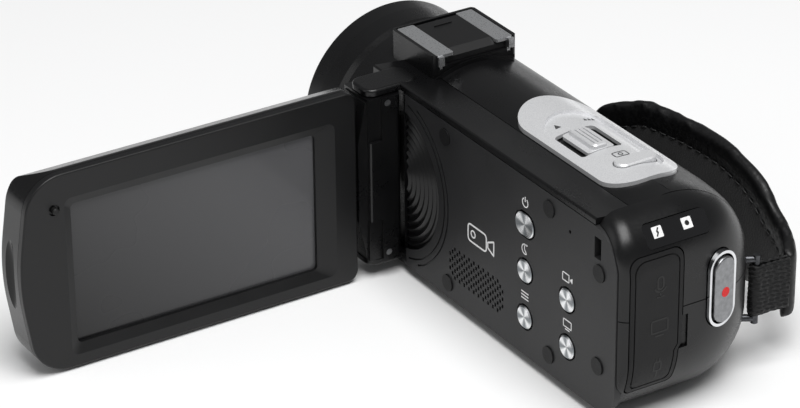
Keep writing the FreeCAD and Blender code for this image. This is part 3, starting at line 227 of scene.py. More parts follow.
def spun_aluminium(centre):
    """Aluminium faced on a lathe: rings 0.16 mm apart, so light gathers in fans from the centre; bright fans
    are also painted into its colour as painted highlights.
    """
    mat, place = start("spun_aluminium")
    offset = add(mat, "VectorMath", {0: place, 1: centre}, operation="SUBTRACT")
    axes = add(mat, "SeparateXYZ", {"Vector": offset})
    flat = add(mat, "CombineXYZ", {"Y": axes.outputs["Y"], "Z": axes.outputs["Z"]})
    reach = add(mat, "VectorMath", {0: flat}, operation="LENGTH").outputs["Value"]
    rings = add(mat, "TexNoise", {"W": reach, "Scale": per(0.16), "Detail": 2.0}, noise_dimensions="1D")
    # Painted highlight: four bright fans round the key's centre, set by angle alone, are painted into the
    # colour.
    angle = add(mat, "Math", {0: axes.outputs["Z"], 1: axes.outputs["Y"]}, operation="ARCTAN2")
    fans = add(mat, "Math", {0: angle, 1: 4.0, 2: -0.9}, operation="MULTIPLY_ADD")
    painted_glint = add(mat, "Math", {0: fans}, operation="SINE")
    share = add(mat, "MapRange", {"Value": painted_glint, "From Min": -0.8, "From Max": 0.8})
    tone = add(mat, "MixRGB", {"Fac": share, "Color1": hue("8b8f92"), "Color2": hue("f3f4f5")})
    rough = add(mat, "MapRange", {"Value": rings, **NOISE_RANGE, "To Min": 0.22, "To Max": 0.4})
    bump = add(mat, "Bump", {"Height": rings, "Distance": 0.01 * MM, "Strength": 1.0})
    tangent = add(mat, "Tangent", direction_type="RADIAL", axis="X")
    return close(mat, {"Metallic": 1.0, "Anisotropic": 0.9, "Base Color": tone, "Roughness": rough,
                        "Normal": bump, "Tangent": tangent})


def satin_metal(name, dark, light, roughness, mark_mm=1.2):
    """Turned or pressed metal left bare, with light tool marks."""
    mat, place = start(name)
    marks = add(mat, "TexNoise", {"Vector": place, "Scale": per(mark_mm), "Detail": 3.0})
    share = add(mat, "MapRange", {"Value": marks, **NOISE_RANGE})
    tone = add(mat, "MixRGB", {"Fac": share, "Color1": hue(dark), "Color2": hue(light)})
    rough = add(mat, "MapRange", {"Value": marks, **NOISE_RANGE,
                                  "To Min": roughness, "To Max": roughness + 0.12})
    bump = add(mat, "Bump", {"Height": marks, "Distance": 0.01 * MM, "Strength": 1.0})
    return close(mat, {"Metallic": 1.0, "Base Color": tone, "Roughness": rough, "Normal": bump})


def soft_rubber():
    """Thermoplastic rubber: very dark and matt, with a dusty 0.3 mm grain."""
    mat, place = start("soft_rubber")
    grain = add(mat, "TexNoise", {"Vector": place, "Scale": per(0.3), "Detail": 2.0})
    dust = add(mat, "TexNoise", {"Vector": place, "Scale": per(6.0), "Detail": 3.0})
    share = add(mat, "MapRange", {"Value": dust, **NOISE_RANGE})
    tone = add(mat, "MixRGB", {"Fac": share, "Color1": hue("0b0b0c"), "Color2": hue("111112")})
    rough = add(mat, "MapRange", {"Value": grain, **NOISE_RANGE, "To Min": 0.5, "To Max": 0.64})
    bump = add(mat, "Bump", {"Height": grain, "Distance": 0.02 * MM, "Strength": 1.0})
    return close(mat, {"IOR": 1.36, "Base Color": tone, "Roughness": rough, "Normal": bump})


def dark_glass(name, dark, light, roughness):
    """Smoked window over something black: near black, with a hard clear gloss."""
    mat, place = start(name)
    haze = add(mat, "TexNoise", {"Vector": place, "Scale": per(25.0), "Detail": 2.0})
    share = add(mat, "MapRange", {"Value": haze, **NOISE_RANGE})
    tone = add(mat, "MixRGB", {"Fac": share, "Color1": hue(dark), "Color2": hue(light)})
    rough = add(mat, "MapRange", {"Value": haze, **NOISE_RANGE,
                                  "To Min": roughness, "To Max": roughness + 0.05})
    bump = add(mat, "Bump", {"Height": haze, "Distance": 0.002 * MM, "Strength": 1.0})
    return close(mat, {"Coat Weight": 0.6, "Coat Roughness": 0.03, "IOR": 1.5,
                        "Base Color": tone, "Roughness": rough, "Normal": bump})


def display_window_painted_sheen():
    """Switched-off display behind its clear window, with a painted reflection in its colour: a grey sheen
    that rises towards the hinge and the top.
    """
    mat, place = start("display_window_painted_sheen")
    low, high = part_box("display_glass")
    axes = add(mat, "SeparateXYZ", {"Vector": place})
    across = add(mat, "MapRange", {"Value": axes.outputs["X"], "From Min": low.x, "From Max": high.x,
                                   "To Max": 0.65})
    up = add(mat, "MapRange", {"Value": axes.outputs["Z"], "From Min": low.z, "From Max": high.z,
                               "To Max": 0.35})
    # Painted reflection: the colour grows lighter across the window and towards its top, as a sheen would.
    rise = add(mat, "Math", {0: across, 1: up}, operation="ADD")
    tone = add(mat, "MixRGB", {"Fac": rise, "Color1": hue("0c0c0d"), "Color2": hue("5a5a5c")})
    haze = add(mat, "TexNoise", {"Vector": place, "Scale": per(25.0), "Detail": 2.0})
    rough = add(mat, "MapRange", {"Value": haze, **NOISE_RANGE, "To Min": 0.25, "To Max": 0.32})
    return close(mat, {"Specular IOR Level": 0.3, "Coat Weight": 0.25, "Coat Roughness": 0.05,
                        "Base Color": tone, "Roughness": rough})


def lens_glass():
    """Coated optical glass: clear, with a faint violet bloom."""
    mat, place = start("coated_lens_glass")
    bloom = add(mat, "TexNoise", {"Vector": place, "Scale": per(18.0), "Detail": 1.0})
    share = add(mat, "MapRange", {"Value": bloom, **NOISE_RANGE})
    tone = add(mat, "MixRGB", {"Fac": share, "Color1": hue("d9dcf2"), "Color2": hue("f2f4ff")})
    rough = add(mat, "MapRange", {"Value": bloom, **NOISE_RANGE, "To Min": 0.0, "To Max": 0.03})
    return close(mat, {"Transmission Weight": 1.0, "IOR": 1.52, "Coat Weight": 0.5,
                       "Coat Tint": hue("a48cff"),
                        "Base Color": tone, "Roughness": rough})


def circuit_board():
    """Glass-epoxy board under green solder mask, with copper tracks about 1.6 mm apart showing lighter."""
    mat, place = start("green_solder_mask")
    tracks = add(mat, "TexVoronoi", {"Vector": place, "Scale": per(1.6)}, distance="CHEBYCHEV")
    tone = add(mat, "MixRGB", {"Fac": tracks, "Color1": hue("0c3a22"), "Color2": hue("1d6a3e")})
    rough = add(mat, "MapRange", {"Value": tracks, **NOISE_RANGE, "To Min": 0.3, "To Max": 0.45})
    bump = add(mat, "Bump", {"Height": tracks, "Distance": 0.03 * MM, "Strength": 1.0})
    return close(mat, {"IOR": 1.5, "Coat Weight": 0.3,
                       "Base Color": tone, "Roughness": rough, "Normal": bump})


def screen_ink(name, dark, light):
    """Pad-printed ink: a thin matt film, mottled every 0.35 mm."""
    mat, place = start(name)
    film = add(mat, "TexNoise", {"Vector": place, "Scale": per(0.35), "Detail": 2.0})
    share = add(mat, "MapRange", {"Value": film, **NOISE_RANGE})
    tone = add(mat, "MixRGB", {"Fac": share, "Color1": hue(dark), "Color2": hue(light)})
    rough = add(mat, "MapRange", {"Value": film, **NOISE_RANGE, "To Min": 0.45, "To Max": 0.6})
    return close(mat, {"IOR": 1.45, "Base Color": tone, "Roughness": rough})


def nylon_weave():
    """Woven nylon ribbon: ribs of thick yarn 1.1 mm apart, crossed by finer yarn 0.8 mm apart."""
    mat, place = start("woven_nylon")
    loose = {"Vector": place, "Detail": 1.0, "Detail Scale": 2.0}
    ribs = add(mat, "TexWave", {**loose, "Scale": WAVE_TURNS * per(1.1), "Distortion": 1.0},
               bands_direction="Z")
    yarn = add(mat, "TexWave", {**loose, "Scale": WAVE_TURNS * per(0.8), "Distortion": 1.5},
               bands_direction="DIAGONAL")
    weave = add(mat, "Math", {0: ribs.outputs["Fac"], 1: yarn.outputs["Fac"]}, operation="MULTIPLY")
    tone = add(mat, "MixRGB", {"Fac": weave, "Color1": hue("040405"), "Color2": hue("101011")})
    rough = add(mat, "MapRange", {"Value": weave, **NOISE_RANGE, "To Min": 0.55, "To Max": 0.75})
    bump = add(mat, "Bump", {"Height": weave, "Distance": 0.25 * MM, "Strength": 1.0})
    return close(mat, {"IOR": 1.38, "Sheen Weight": 0.08, "Sheen Roughness": 0.4,
                        "Base Color": tone, "Roughness": rough, "Normal": bump})


def brushed_lining():
    """Brushed tricot on the hand side of the pad: 0.5 mm fuzz that catches light at the edges."""
    mat, place = start("brushed_tricot")
    fuzz = add(mat, "TexNoise", {"Vector": place, "Scale": per(0.5), "Detail": 4.0})
    share = add(mat, "MapRange", {"Value": fuzz, **NOISE_RANGE})
    tone = add(mat, "MixRGB", {"Fac": share, "Color1": hue("080809"), "Color2": hue("121213")})
    rough = add(mat, "MapRange", {"Value": fuzz, **NOISE_RANGE, "To Min": 0.8, "To Max": 0.95})
    bump = add(mat, "Bump", {"Height": fuzz, "Distance": 0.18 * MM, "Strength": 1.0})
    return close(mat, {"IOR": 1.35, "Sheen Weight": 0.12, "Sheen Roughness": 0.6,
                        "Base Color": tone, "Roughness": rough, "Normal": bump})


def leathercloth():
    """Vinyl-coated cloth on the outside of the pad: soft 0.9 mm pebbles with a dull shine."""
    mat, place = start("leathercloth")
    pebbles = add(mat, "TexVoronoi", {"Vector": place, "Scale": per(0.9)}, feature="SMOOTH_F1")
    wear = add(mat, "TexNoise", {"Vector": place, "Scale": per(9.0), "Detail": 3.0})
    share = add(mat, "MapRange", {"Value": wear, **NOISE_RANGE})
    tone = add(mat, "MixRGB", {"Fac": share, "Color1": hue("050506"), "Color2": hue("0a0a0b")})
    rough = add(mat, "MapRange", {"Value": pebbles, **NOISE_RANGE, "To Min": 0.4, "To Max": 0.55})
    bump = add(mat, "Bump", {"Height": pebbles, "Distance": 0.06 * MM, "Strength": 1.0})
    return close(mat, {"IOR": 1.42, "Base Color": tone, "Roughness": rough, "Normal": bump})


# The wave texture makes a band every 0.32 of its own unit.
WAVE_TURNS = 0.32
# Middle and radius, in the plane of the side panel, of its ribbed dish.
DISH_Y, DISH_Z, DISH_R = 27.5, 26.3, 19.35

HOUSING = moulded_abs("satin_black_abs", "080809", "0c0c0d", 0.3, 0.5, 0.004)
PANEL = eroded_panel()
DISPLAY_SHELL = moulded_abs("polished_black_abs", "070708", "0b0b0c", 0.2, 0.8, 0.002)
BEZEL = moulded_abs("matt_black_abs", "0b0b0c", "0f0f10", 0.42, 0.2, 0.012)
INNER = moulded_abs("plain_black_abs", "0a0a0a", "0e0e0e", 0.55, 0.4, 0.01)
SILVER = silver_paint()
CHROME = chrome_plate()
STEEL = satin_metal("nickel_plated_steel", "8d8e90", "b4b5b7", 0.25)
RAIL = satin_metal("polished_spring_steel", "e2e3e5", "f0f1f2", 0.26, 0.3)
DARK_STEEL = satin_metal("blackened_steel", "3c3d3f", "56575a", 0.3)
BRASS = satin_metal("turned_brass", "9c7a35", "c9a55a", 0.25)
KEY_GREY = satin_metal("anodised_grey", "7d7e80", "97989a", 0.3)
RUBBER = soft_rubber()
BOARD = circuit_board()
NYLON = nylon_weave()
THREAD = screen_ink("black_thread", "0c0c0d", "1b1b1c")
WHITE_INK = screen_ink("white_pad_print", "dcdcdc", "f2f2f2")
GREY_INK = screen_ink("grey_pad_print", "3a3a3b", "48484a")
BLACK_INK = screen_ink("black_pad_print", "0a0a0a", "121212")
RED_INK = screen_ink("red_enamel_dot", "c80a0c", "e81214")

FINISHES = {
    HOUSING: ("left_shell", "right_shell", "rear_upper_cover", "rear_lower_cover", "front_ring", "shoe_base",
              "hinge_arm"),
    PANEL: ("side_panel",),
    DISPLAY_SHELL: ("display_back",),
    BEZEL: ("display_bezel", "shoe_cover"),
    INNER: ("base_plate", "battery_door", "battery", "lens_bezel", "lens_barrel", "mic_socket", "catch_stud"),
    SILVER: ("top_panel", "zoom_lever", "photo_button"),
    RAIL: ("shoe_rails",),
    CHROME: ("record_ring", "video_socket", "data_socket"),
    KEY_GREY: ("record_button",),
    STEEL: ("base_screws", "arm_screws", "hinge_pins", "swivel_shaft",
            "key_switches", "microphones", "speaker", "card_slot", "lcd_module"),
    DARK_STEEL: ("strap_lug_front", "strap_lug_rear"),
    BRASS: ("tripod_insert", "battery_contacts"),
    RUBBER: ("port_cover", "rubber_bumpers"),
    BOARD: ("main_board", "key_board", "control_board", "port_board", "image_sensor"),
    # The display glass carries a painted reflection in its colour.
    display_window_painted_sheen(): ("display_glass",),
    dark_glass("smoked_indicator_window", "08080a", "0c0c0e", 0.12): ("indicator_window",),
    dark_glass("infrared_lamp_resin", "120608", "1c0a0d", 0.1): ("night_lamp",),
    lens_glass(): ("lens_glass", "lens_elements"),
}
KEYS = ("power_button", "night_light_button", "menu_button", "mode_button", "display_button")


def finish_nodes():
    """Give every CAD node its material."""
    for material, names in FINISHES.items():
        for name in names:
            nodes[name].data.materials.clear()
            nodes[name].data.materials.append(material)
    for name in KEYS:
        low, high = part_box(name)
        nodes[name].data.materials.clear()
        nodes[name].data.materials.append(spun_aluminium((low + high) / 2))


# ---------------------------------------------------------------- mesh tools
def new_piece(name, verts, faces, material, body="body"):
    """Piece of the camcorder from points in millimetres."""
    mesh = bpy.data.meshes.new(name)
    mesh.from_pydata([Vector(v) * MM for v in verts], [], faces)
    mesh.materials.append(material)
    work = bmesh.new()
    work.from_mesh(mesh)
    bmesh.ops.recalc_face_normals(work, faces=work.faces)
    work.to_mesh(mesh)
    work.free()
    piece = bpy.data.objects.new(name, mesh)
    bpy.context.scene.collection.objects.link(piece)
    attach(piece, body)
    return piece


def surface_of(piece):
    """Tree for laying things on a piece's surface, in the frame's own coordinates."""
    work = bmesh.new()
    work.from_mesh(piece.data)
    work.transform(piece.matrix_world)
    tree = BVHTree.FromBMesh(work)
    work.free()
    return tree


def resample(points, step, closed=False):
    """Points at even steps along a line."""
    ring = list(points) + ([points[0]] if closed else [])
    lengths = [(b - a).length for a, b in zip(ring, ring[1:])]
    count = max(2, round(sum(lengths) / step))
    result, k, passed = [], 0, 0.0
    for n in range(count if closed else count + 1):
        goal = sum(lengths) * n / count
        while k < len(lengths) - 1 and passed + lengths[k] < goal:
            passed += lengths[k]
            k += 1
        share = min(1.0, (goal - passed) / lengths[k]) if lengths[k] else 0.0
        result.append(ring[k].lerp(ring[k + 1], share))
    return result


def smooth_line(points, step):
    """Even steps along a smooth line through the given points."""
    pts = [Vector(p) for p in points]
    pts = [2 * pts[0] - pts[1]] + pts + [2 * pts[-1] - pts[-2]]
    line = []
    for a, b, c, d in zip(pts, pts[1:], pts[2:], pts[3:]):
        for k in range(24):
            t = k / 24
            line.append(0.5 * (2 * b + (c - a) * t + (2 * a - 5 * b + 4 * c - d) * t ** 2
                               + (3 * b - 3 * c + d - a) * t ** 3))
    return resample(line + [pts[-2]], step)


def rounded_loop(corners, steps=9):
    """Closed loop through (a, b, radius) corners, each rounded."""
    loop = []
    for k, (a, b, radius) in enumerate(corners):
        here = Vector((a, b))
        last, following = Vector(corners[k - 1][:2]), Vector(corners[(k + 1) % len(corners)][:2])
        to_last, to_next = (last - here).normalized(), (following - here).normalized()
        half = to_last.angle(to_next) / 2
        centre = here + (to_last + to_next).normalized() * radius / math.sin(half)
        start, end = here + to_last * radius / math.tan(half), here + to_next * radius / math.tan(half)
        for n in range(steps):
            spoke = (start - centre).lerp(end - centre, n / (steps - 1)).normalized()
            loop.append(centre + spoke * radius)
    return loop


# ---------------------------------------------------------------- hand strap
PAD_PLAN = ((31.5, 19.0), (37.5, 7.0), (41.0, -9.0), (42.0, -27.0), (41.2, -42.0), (38.6, -52.5),
            (33.6, -59.5))
PAD_SIDE = ((20.0, 9.0, 9.0), (20.0, 35.0, 10.0), (-12.0, 46.5, 30.0), (-42.0, 43.5, 16.0),
            (-63.5, 29.5, 10.0), (-63.5, 9.5, 9.0), (-20.0, 4.0, 40.0))
PAD_CREST = ((-64.0, 24.0), (-60.0, 27.6), (-52.0, 29.4), (-46.0, 31.0), (-43.4, 32.8), (-39.6, 35.0),
             (-34.7, 37.2), (-27.6, 39.0), (-20.8, 40.0), (-10.0, 40.3), (3.0, 40.4), (9.0, 40.0),
             (13.3, 39.2), (17.4, 36.0), (21.0, 33.0))
PAD_STEP = 0.5
PAD_SLIM = 0.55
SEAM_IN = 6.5
SEAM_HALF = 0.9
SEAM_DEPTH = 0.5
SEAM_STEP = 0.8
PAD_VOXEL = 1.5
PUFF_PRESSURE = 3.0
PUFF_STEPS = 20
PUFF_CAP = 1.3
STITCH = 2.1
STITCH_PITCH = 3.2
WEB_LOW, WEB_HIGH = 14.7, 27.8
WEB_T = 1.0
WEB_STEP = 0.3
FOLD_R = 1.3
STAPLE_WIRE_R = 0.9
FRONT_SEWN, REAR_SEWN = (30.6, 20.5), (32.4, -61.0)


class PadSheet:
    """Flat pattern of the pad: s runs along its line in plan, and z is the height."""

    def __init__(self):
        self.line = smooth_line(PAD_PLAN, PAD_STEP)
        self.side = resample(rounded_loop(PAD_SIDE), 0.5, True)
        edge = [Vector((self.along(p.x), self.settle(p.x, p.y))) for p in resample(self.side, 1.0, True)]
        self.edge = resample([p for k, p in enumerate(edge) if (p - edge[k - 1]).length > 0.05], 1.0, True)

    def along(self, y):
        """Distance along the line of the point at this y."""
        nearest = min(range(len(self.line)), key=lambda k: abs(self.line[k].y - y))
        return nearest * PAD_STEP

    def settle(self, y, z):
        """Height on the soft pad of a height on the CAD pad, whose crest stands a little higher."""
        near = [p.y for p in self.side if abs(p.x - y) < 0.6]
        if not near:
            return z
        low, high = min(near), max(near)
        for (y0, z0), (y1, z1) in zip(PAD_CREST, PAD_CREST[1:]):
            if y0 <= y <= y1:
                crest = min(high, z0 + (z1 - z0) * (y - y0) / (y1 - y0))
                return low + (z - low) * (crest - low) / max(high - low, 1.0)
        return z

    def place(self, s, z):
        """Point on the middle of the pad and the direction out of its outer face."""
        k = min(max(s / PAD_STEP, 0.0), len(self.line) - 1.001)
        here, following = self.line[int(k)], self.line[int(k) + 1]
        flat = here.lerp(following, k - int(k))
        along = (following - here).normalized()
        return Vector((flat.x, flat.y, z)), Vector((-along.y, along.x, 0.0))

    def find(self, point):
        """Pattern position of a point in millimetres, and whether it is on the outer face."""
        k = min(range(len(self.line)), key=lambda n: (self.line[n] - point.xy).length_squared)
        middle, out = self.place(k * PAD_STEP, point.z)
        return Vector((k * PAD_STEP, point.z)), (point - middle).dot(out) > 0

    def inset(self, distance):
        """Loop at an even distance inside the pattern's edge."""
        turn = sum(a.cross(b) for a, b in zip(self.edge, self.edge[1:] + self.edge[:1]))
        loop = []
        for k, here in enumerate(self.edge):
            along = (self.edge[(k + 1) % len(self.edge)] - self.edge[k - 1]).normalized()
            inward = Vector((-along.y, along.x)) * math.copysign(distance, turn)
            if min((here + inward - other).length for other in self.edge) > distance - 0.25:
                loop.append(here + inward)
        return resample(loop, SEAM_STEP, True)


def depth_in(loop, point):
    """Distance from a point to a loop, positive inside it."""
    inside = False
    for a, b in zip(loop, loop[1:] + loop[:1]):
        if (a.y > point.y) != (b.y > point.y):
            crossing = a.x + (b.x - a.x) * (point.y - a.y) / (b.y - a.y)
            inside = inside != (point.x < crossing)
    reach = min((point - q).length for q in loop)
    return reach if inside else -reach


def puff_pad(sheet, seam):
    """Padded band: remeshed from the CAD pad, sewn down along the seam and blown up as cloth."""
    mesh = nodes["strap_pad"].data.copy()
    pad = bpy.data.objects.new("hand_pad", mesh)
    bpy.context.scene.collection.objects.link(pad)
    pad.matrix_world = nodes["strap_pad"].matrix_world.copy()
    mesh.transform(pad.matrix_world)
    pad.matrix_world = Matrix()
    bpy.context.view_layer.objects.active = pad
    pad.select_set(True)
    remesh = pad.modifiers.new("remesh", "REMESH")
    remesh.mode = "VOXEL"
    remesh.voxel_size = PAD_VOXEL * MM
    bpy.ops.object.modifier_apply(modifier=remesh.name)
    mesh = pad.data
    sewn = pad.vertex_groups.new(name="sewn")
    rest = []
    for vertex in mesh.vertices:
        vertex.co.z = sheet.settle(vertex.co.y / MM, vertex.co.z / MM) * MM
        spot, outer = sheet.find(vertex.co / MM)
        out = sheet.place(spot.x, spot.y)[1]
        inward = -out if outer else out
        vertex.co += inward * PAD_SLIM * MM
        if abs(depth_in(seam, spot)) < SEAM_HALF:
            vertex.co += inward * SEAM_DEPTH * MM
            sewn.add([vertex.index], 1.0, "REPLACE")
        rest.append(vertex.co.copy())
    cloth = pad.modifiers.new("puff", "CLOTH")
    settings = cloth.settings
    settings.quality = 6
    settings.mass = 0.02
    settings.tension_stiffness = 12.0
    settings.compression_stiffness = 12.0
    settings.shear_stiffness = 5.0
    settings.bending_stiffness = 0.3
    settings.use_pressure = True
    settings.uniform_pressure_force = PUFF_PRESSURE
    settings.effector_weights.gravity = 0.0
    settings.vertex_group_mass = "sewn"
    scene = bpy.context.scene
    for step in range(1, PUFF_STEPS + 1):
        scene.frame_set(step)
    bpy.ops.object.modifier_apply(modifier=cloth.name)
    scene.frame_set(1)
    for vertex, was in zip(pad.data.vertices, rest):
        move = vertex.co - was
        if move.length > PUFF_CAP * MM:
            vertex.co = was + move.normalized() * PUFF_CAP * MM
    smooth = pad.modifiers.new("soften", "SMOOTH")
    smooth.iterations = 8
    smooth.factor = 0.5
    finer = pad.modifiers.new("finer", "SUBSURF")
    finer.levels = finer.render_levels = 1
    for modifier in (smooth, finer):
        bpy.ops.object.modifier_apply(modifier=modifier.name)
    return pad


def dress_pad(pad, sheet, seam):
    """Leathercloth on the outside and the border, brushed lining inside the seam."""
    pad.data.materials.clear()
    pad.data.materials.append(leathercloth())
    pad.data.materials.append(brushed_lining())
    for face in pad.data.polygons:
        face.use_smooth = True
        spot, outer = sheet.find(face.center / MM)
        face.material_index = 1 if not outer and depth_in(seam, spot) > 0 else 0
    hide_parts("strap_pad")
    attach(pad, "body")


def sew(sheet, seam, pad):
    """Double line of thread that holds the lining to the border."""
    tree = surface_of(pad)
    verts, faces = [], []
    for side in (-1, 1):
        count = int(sum((b - a).length for a, b in zip(seam, seam[1:])) / STITCH_PITCH)
        for k in range(count):
            ends = []
            for share in (0, 1):
                n = (k * STITCH_PITCH + share * STITCH) / SEAM_STEP
                spot = seam[int(n) % len(seam)].lerp(seam[(int(n) + 1) % len(seam)], n - int(n))
                middle, out = sheet.place(spot.x, spot.y)
                hit = tree.ray_cast((middle + out * side * 12) * MM, out * -side)[0]
                if hit:
                    ends.append((hit / MM, out * side))
            if len(ends) == 2:
                add_stitch(verts, faces, ends)
    return new_piece("pad_stitching", verts, faces, THREAD)


def add_stitch(verts, faces, ends):
    """Short bowed thread whose ends sink into the cloth."""
    (a, out), (b, _) = ends
    along = (b - a).normalized()
    across = along.cross(out).normalized()
    first = len(verts)
    rings = ((0.0, 0.08, -0.15), (0.15, 0.2, 0.05), (0.5, 0.22, 0.14), (0.85, 0.2, 0.05), (1.0, 0.08, -0.15))
    for share, radius, rise in rings:
        centre = a.lerp(b, share) + out * rise
        for k in range(6):
            turn = math.radians(60 * k)
            verts.append(centre + (across * math.cos(turn) + out * math.sin(turn)) * radius)
    for ring in range(len(rings) - 1):
        for k in range(6):
            p, q = first + 6 * ring + k, first + 6 * ring + (k + 1) % 6
            faces.append((p, q, q + 6, p + 6))
    faces.append(tuple(first + 5 - k for k in range(6)))
    faces.append(tuple(first + 6 * (len(rings) - 1) + k for k in range(6)))


def fold_line(staple, sewn):
    """Path in plan of a ribbon that comes from the pad, goes round a staple's bar and returns."""
    low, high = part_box(staple)
    bar = Vector((high.x / MM - STAPLE_WIRE_R, low.y / MM + STAPLE_WIRE_R))
    sewn = Vector(sewn)
    out = (sewn - bar).normalized()
    side = Vector((-out.y, out.x))
    path = [sewn + side * 0.65, bar + out * 3.2 + side * 0.8]
    for k in range(13):
        turn = math.radians(90 + 15 * k)
        path.append(bar + (out * math.cos(turn) + side * math.sin(turn)) * FOLD_R)
    path += [bar + out * 3.2 - side * 0.8, sewn - side * 0.65]
    return resample(path, WEB_STEP)


def weave_ribbon(name, node, path):
    """Ribbon of webbing along a path in plan, with its yarns raised in a twill."""
    rows = round((WEB_HIGH - WEB_LOW) / WEB_STEP)
    verts, faces = [], []
    for layer in (0, 1):
        for k, here in enumerate(path):
            along = (path[min(k + 1, len(path) - 1)] - path[max(k - 1, 0)]).normalized()
            outward = Vector((along.y, -along.x))
            for row in range(rows + 1):
                z = WEB_LOW + (WEB_HIGH - WEB_LOW) * row / rows
                edge = min(row, rows - row) / 3
                s = k * WEB_STEP
                yarn = math.sin(s * 2.6 + z * 2.9) * math.sin(z * 2.4 - s * 0.9)
                swell = 0.5 * WEB_T * min(1.0, 0.55 + 0.45 * edge) + 0.14 * yarn
                spot = here + outward * (swell if layer else -swell)
                verts.append((spot.x, spot.y, z))
    columns, height = len(path), rows + 1
    back = columns * height
    for k in range(columns - 1):
        for row in range(rows):
            p = k * height + row
            faces.append((p, p + 1, p + height + 1, p + height))
            faces.append((back + p, back + p + height, back + p + height + 1, back + p + 1))
        for row in (0, rows):
            p = k * height + row
            faces.append((p, p + height, back + p + height, back + p))
    for k in (0, columns - 1):
        for row in range(rows):
            p = k * height + row
            faces.append((p, p + 1, back + p + 1, back + p))
    piece = new_piece(name, verts, faces, NYLON)
    for face in piece.data.polygons:
        face.use_smooth = True
    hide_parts(node)


def make_strap():
    """Padded band, its stitching, and the two ribbons that hold it to the staples."""
    sheet = PadSheet()
    seam = sheet.inset(SEAM_IN)
    pad = puff_pad(sheet, seam)
    dress_pad(pad, sheet, seam)
    sew(sheet, seam, pad)
    weave_ribbon("front_web", "front_webbing", fold_line("strap_lug_front", FRONT_SEWN))
    weave_ribbon("rear_web", "rear_webbing", fold_line("strap_lug_rear", REAR_SEWN))


# ---------------------------------------------------------------- printed signs
SIGN_RISE = 5.8
SIGN_STEP = 0.35
SIGN_SINK = 0.03
LAY_FROM = 6.0


def from_middle(node, *offset):
    """Point in millimetres at an offset from the middle of a CAD node."""
    low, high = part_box(node)
    return (low + high) / 2 / MM + Vector(offset)


def circle(a, b, radius, start=0, sweep=360):
    """Points round a circle or along an arc of it."""
    steps = max(8, int(sweep / 15))
    return [(a + radius * math.cos(math.radians(start + sweep * k / steps)),
             b + radius * math.sin(math.radians(start + sweep * k / steps)))
            for k in range(steps + (sweep < 360))]


def box_line(a, b, width, height):
    """Corners of an upright box round a point."""
    return [(a - width / 2, b - height / 2), (a + width / 2, b - height / 2),
            (a + width / 2, b + height / 2), (a - width / 2, b + height / 2)]


def rounded_box(a, b, width, height, radius):
    """Outline of an upright box with rounded corners."""
    return rounded_loop([(x, y, radius) for x, y in box_line(a, b, width, height)], 5)


def stroke(points, width, closed):
    """Pairs of points on both sides of a line of even width."""
    pts = resample([Vector(p) for p in points], SIGN_STEP, closed)
    rails = []
    for k, here in enumerate(pts):
        last = pts[k - 1] if closed or k else here
        following = pts[(k + 1) % len(pts)] if closed or k < len(pts) - 1 else here
        along = (following - last).normalized()
        across = Vector((-along.y, along.x)) * width / 2
        rails.append((here + across, here - across))
    return rails


class Sign:
    """Signs printed on one surface: right and up are the printed directions."""

    def __init__(self, name, node, origin, right, up, ink, slot_name, body="body", film=0.05):
        self.name, self.ink, self.slot_name = name, ink, slot_name
        self.body, self.film = body, film
        self.tree = surface_of(nodes[node])
        self.origin = Vector(origin)
        self.right, self.up = Vector(right).normalized(), Vector(up).normalized()
        self.out = self.right.cross(self.up)
        self.verts, self.faces = [], []

    def lay(self, spot):
        """Index of the lower one of two points that stand on the surface, one above the other."""
        over = self.origin + self.right * spot[0] + self.up * spot[1] + self.out * LAY_FROM
        hit = self.tree.ray_cast(over * MM, -self.out)[0]
        base = hit / MM if hit else over - self.out * LAY_FROM
        self.verts += [base - self.out * SIGN_SINK, base + self.out * self.film]
        return len(self.verts) - 2

    def line(self, points, width=0.32, closed=False):
        """Line of even width through the points."""
        marks = [(self.lay(a), self.lay(b)) for a, b in stroke(points, width, closed)]
        pairs = list(zip(marks, marks[1:])) + ([(marks[-1], marks[0])] if closed else [])
        for (a, b), (c, d) in pairs:
            self.faces += [(a, b, d, c), (a + 1, c + 1, d + 1, b + 1)]
            self.faces += [(a, c, c + 1, a + 1), (b, b + 1, d + 1, d)]
        if not closed:
            for a, b in (marks[0], marks[-1]):
                self.faces.append((a, a + 1, b + 1, b))

    def fill(self, points):
        """Filled convex shape, as a fan round its middle."""
        pts = resample([Vector(p) for p in points], 0.4, True)
        middle = self.lay(sum(pts, Vector((0, 0))) / len(pts))
        ring = [self.lay(p) for p in pts]
        for a, b in zip(ring, ring[1:] + ring[:1]):
            self.faces += [(middle, b, a), (middle + 1, a + 1, b + 1), (a, b, b + 1, a + 1)]

    def finish(self):
        new_piece(self.name, self.verts, self.faces, self.ink, self.body)


def side_sign(name, key, along=0.0, rise=SIGN_RISE):
    """Sign on the side panel, above a key."""
    return Sign(name, "side_panel", from_middle(key, 0, along, rise), (0, -1, 0), (0, 0, 1),
                WHITE_INK, "silver")


def print_key_signs():
    """Plain pictogram above each side key."""
    sign = side_sign("power_sign", "power_button")
    sign.line(circle(0, 0, 1.15, 125, 290))
    sign.line([(0, 0.2), (0, 1.5)])
    sign.finish()
    sign = side_sign("night_lamp_sign", "night_light_button")
    sign.line(circle(0, 0, 1.3, 60, 240) + circle(0.75, 0.35, 1.05, 265, -220)[1:-1], 0.26, True)
    sign.finish()
    sign = side_sign("menu_sign", "menu_button")
    for level in (-0.85, 0.0, 0.85):
        sign.line([(-1.5, level), (1.5, level)])
    sign.finish()
    sign = side_sign("mode_sign", "mode_button")
    sign.line(box_line(-0.6, 0, 2.6, 2.0), 0.28, True)
    sign.fill([(1.0, 0), (2.1, -0.8), (2.1, 0.8)])
    sign.finish()
    sign = side_sign("display_sign", "display_button")
    sign.line(box_line(0, 0.3, 3.2, 1.9), 0.28, True)
    sign.line([(-0.9, -1.25), (0.9, -1.25)], 0.28)
    sign.finish()


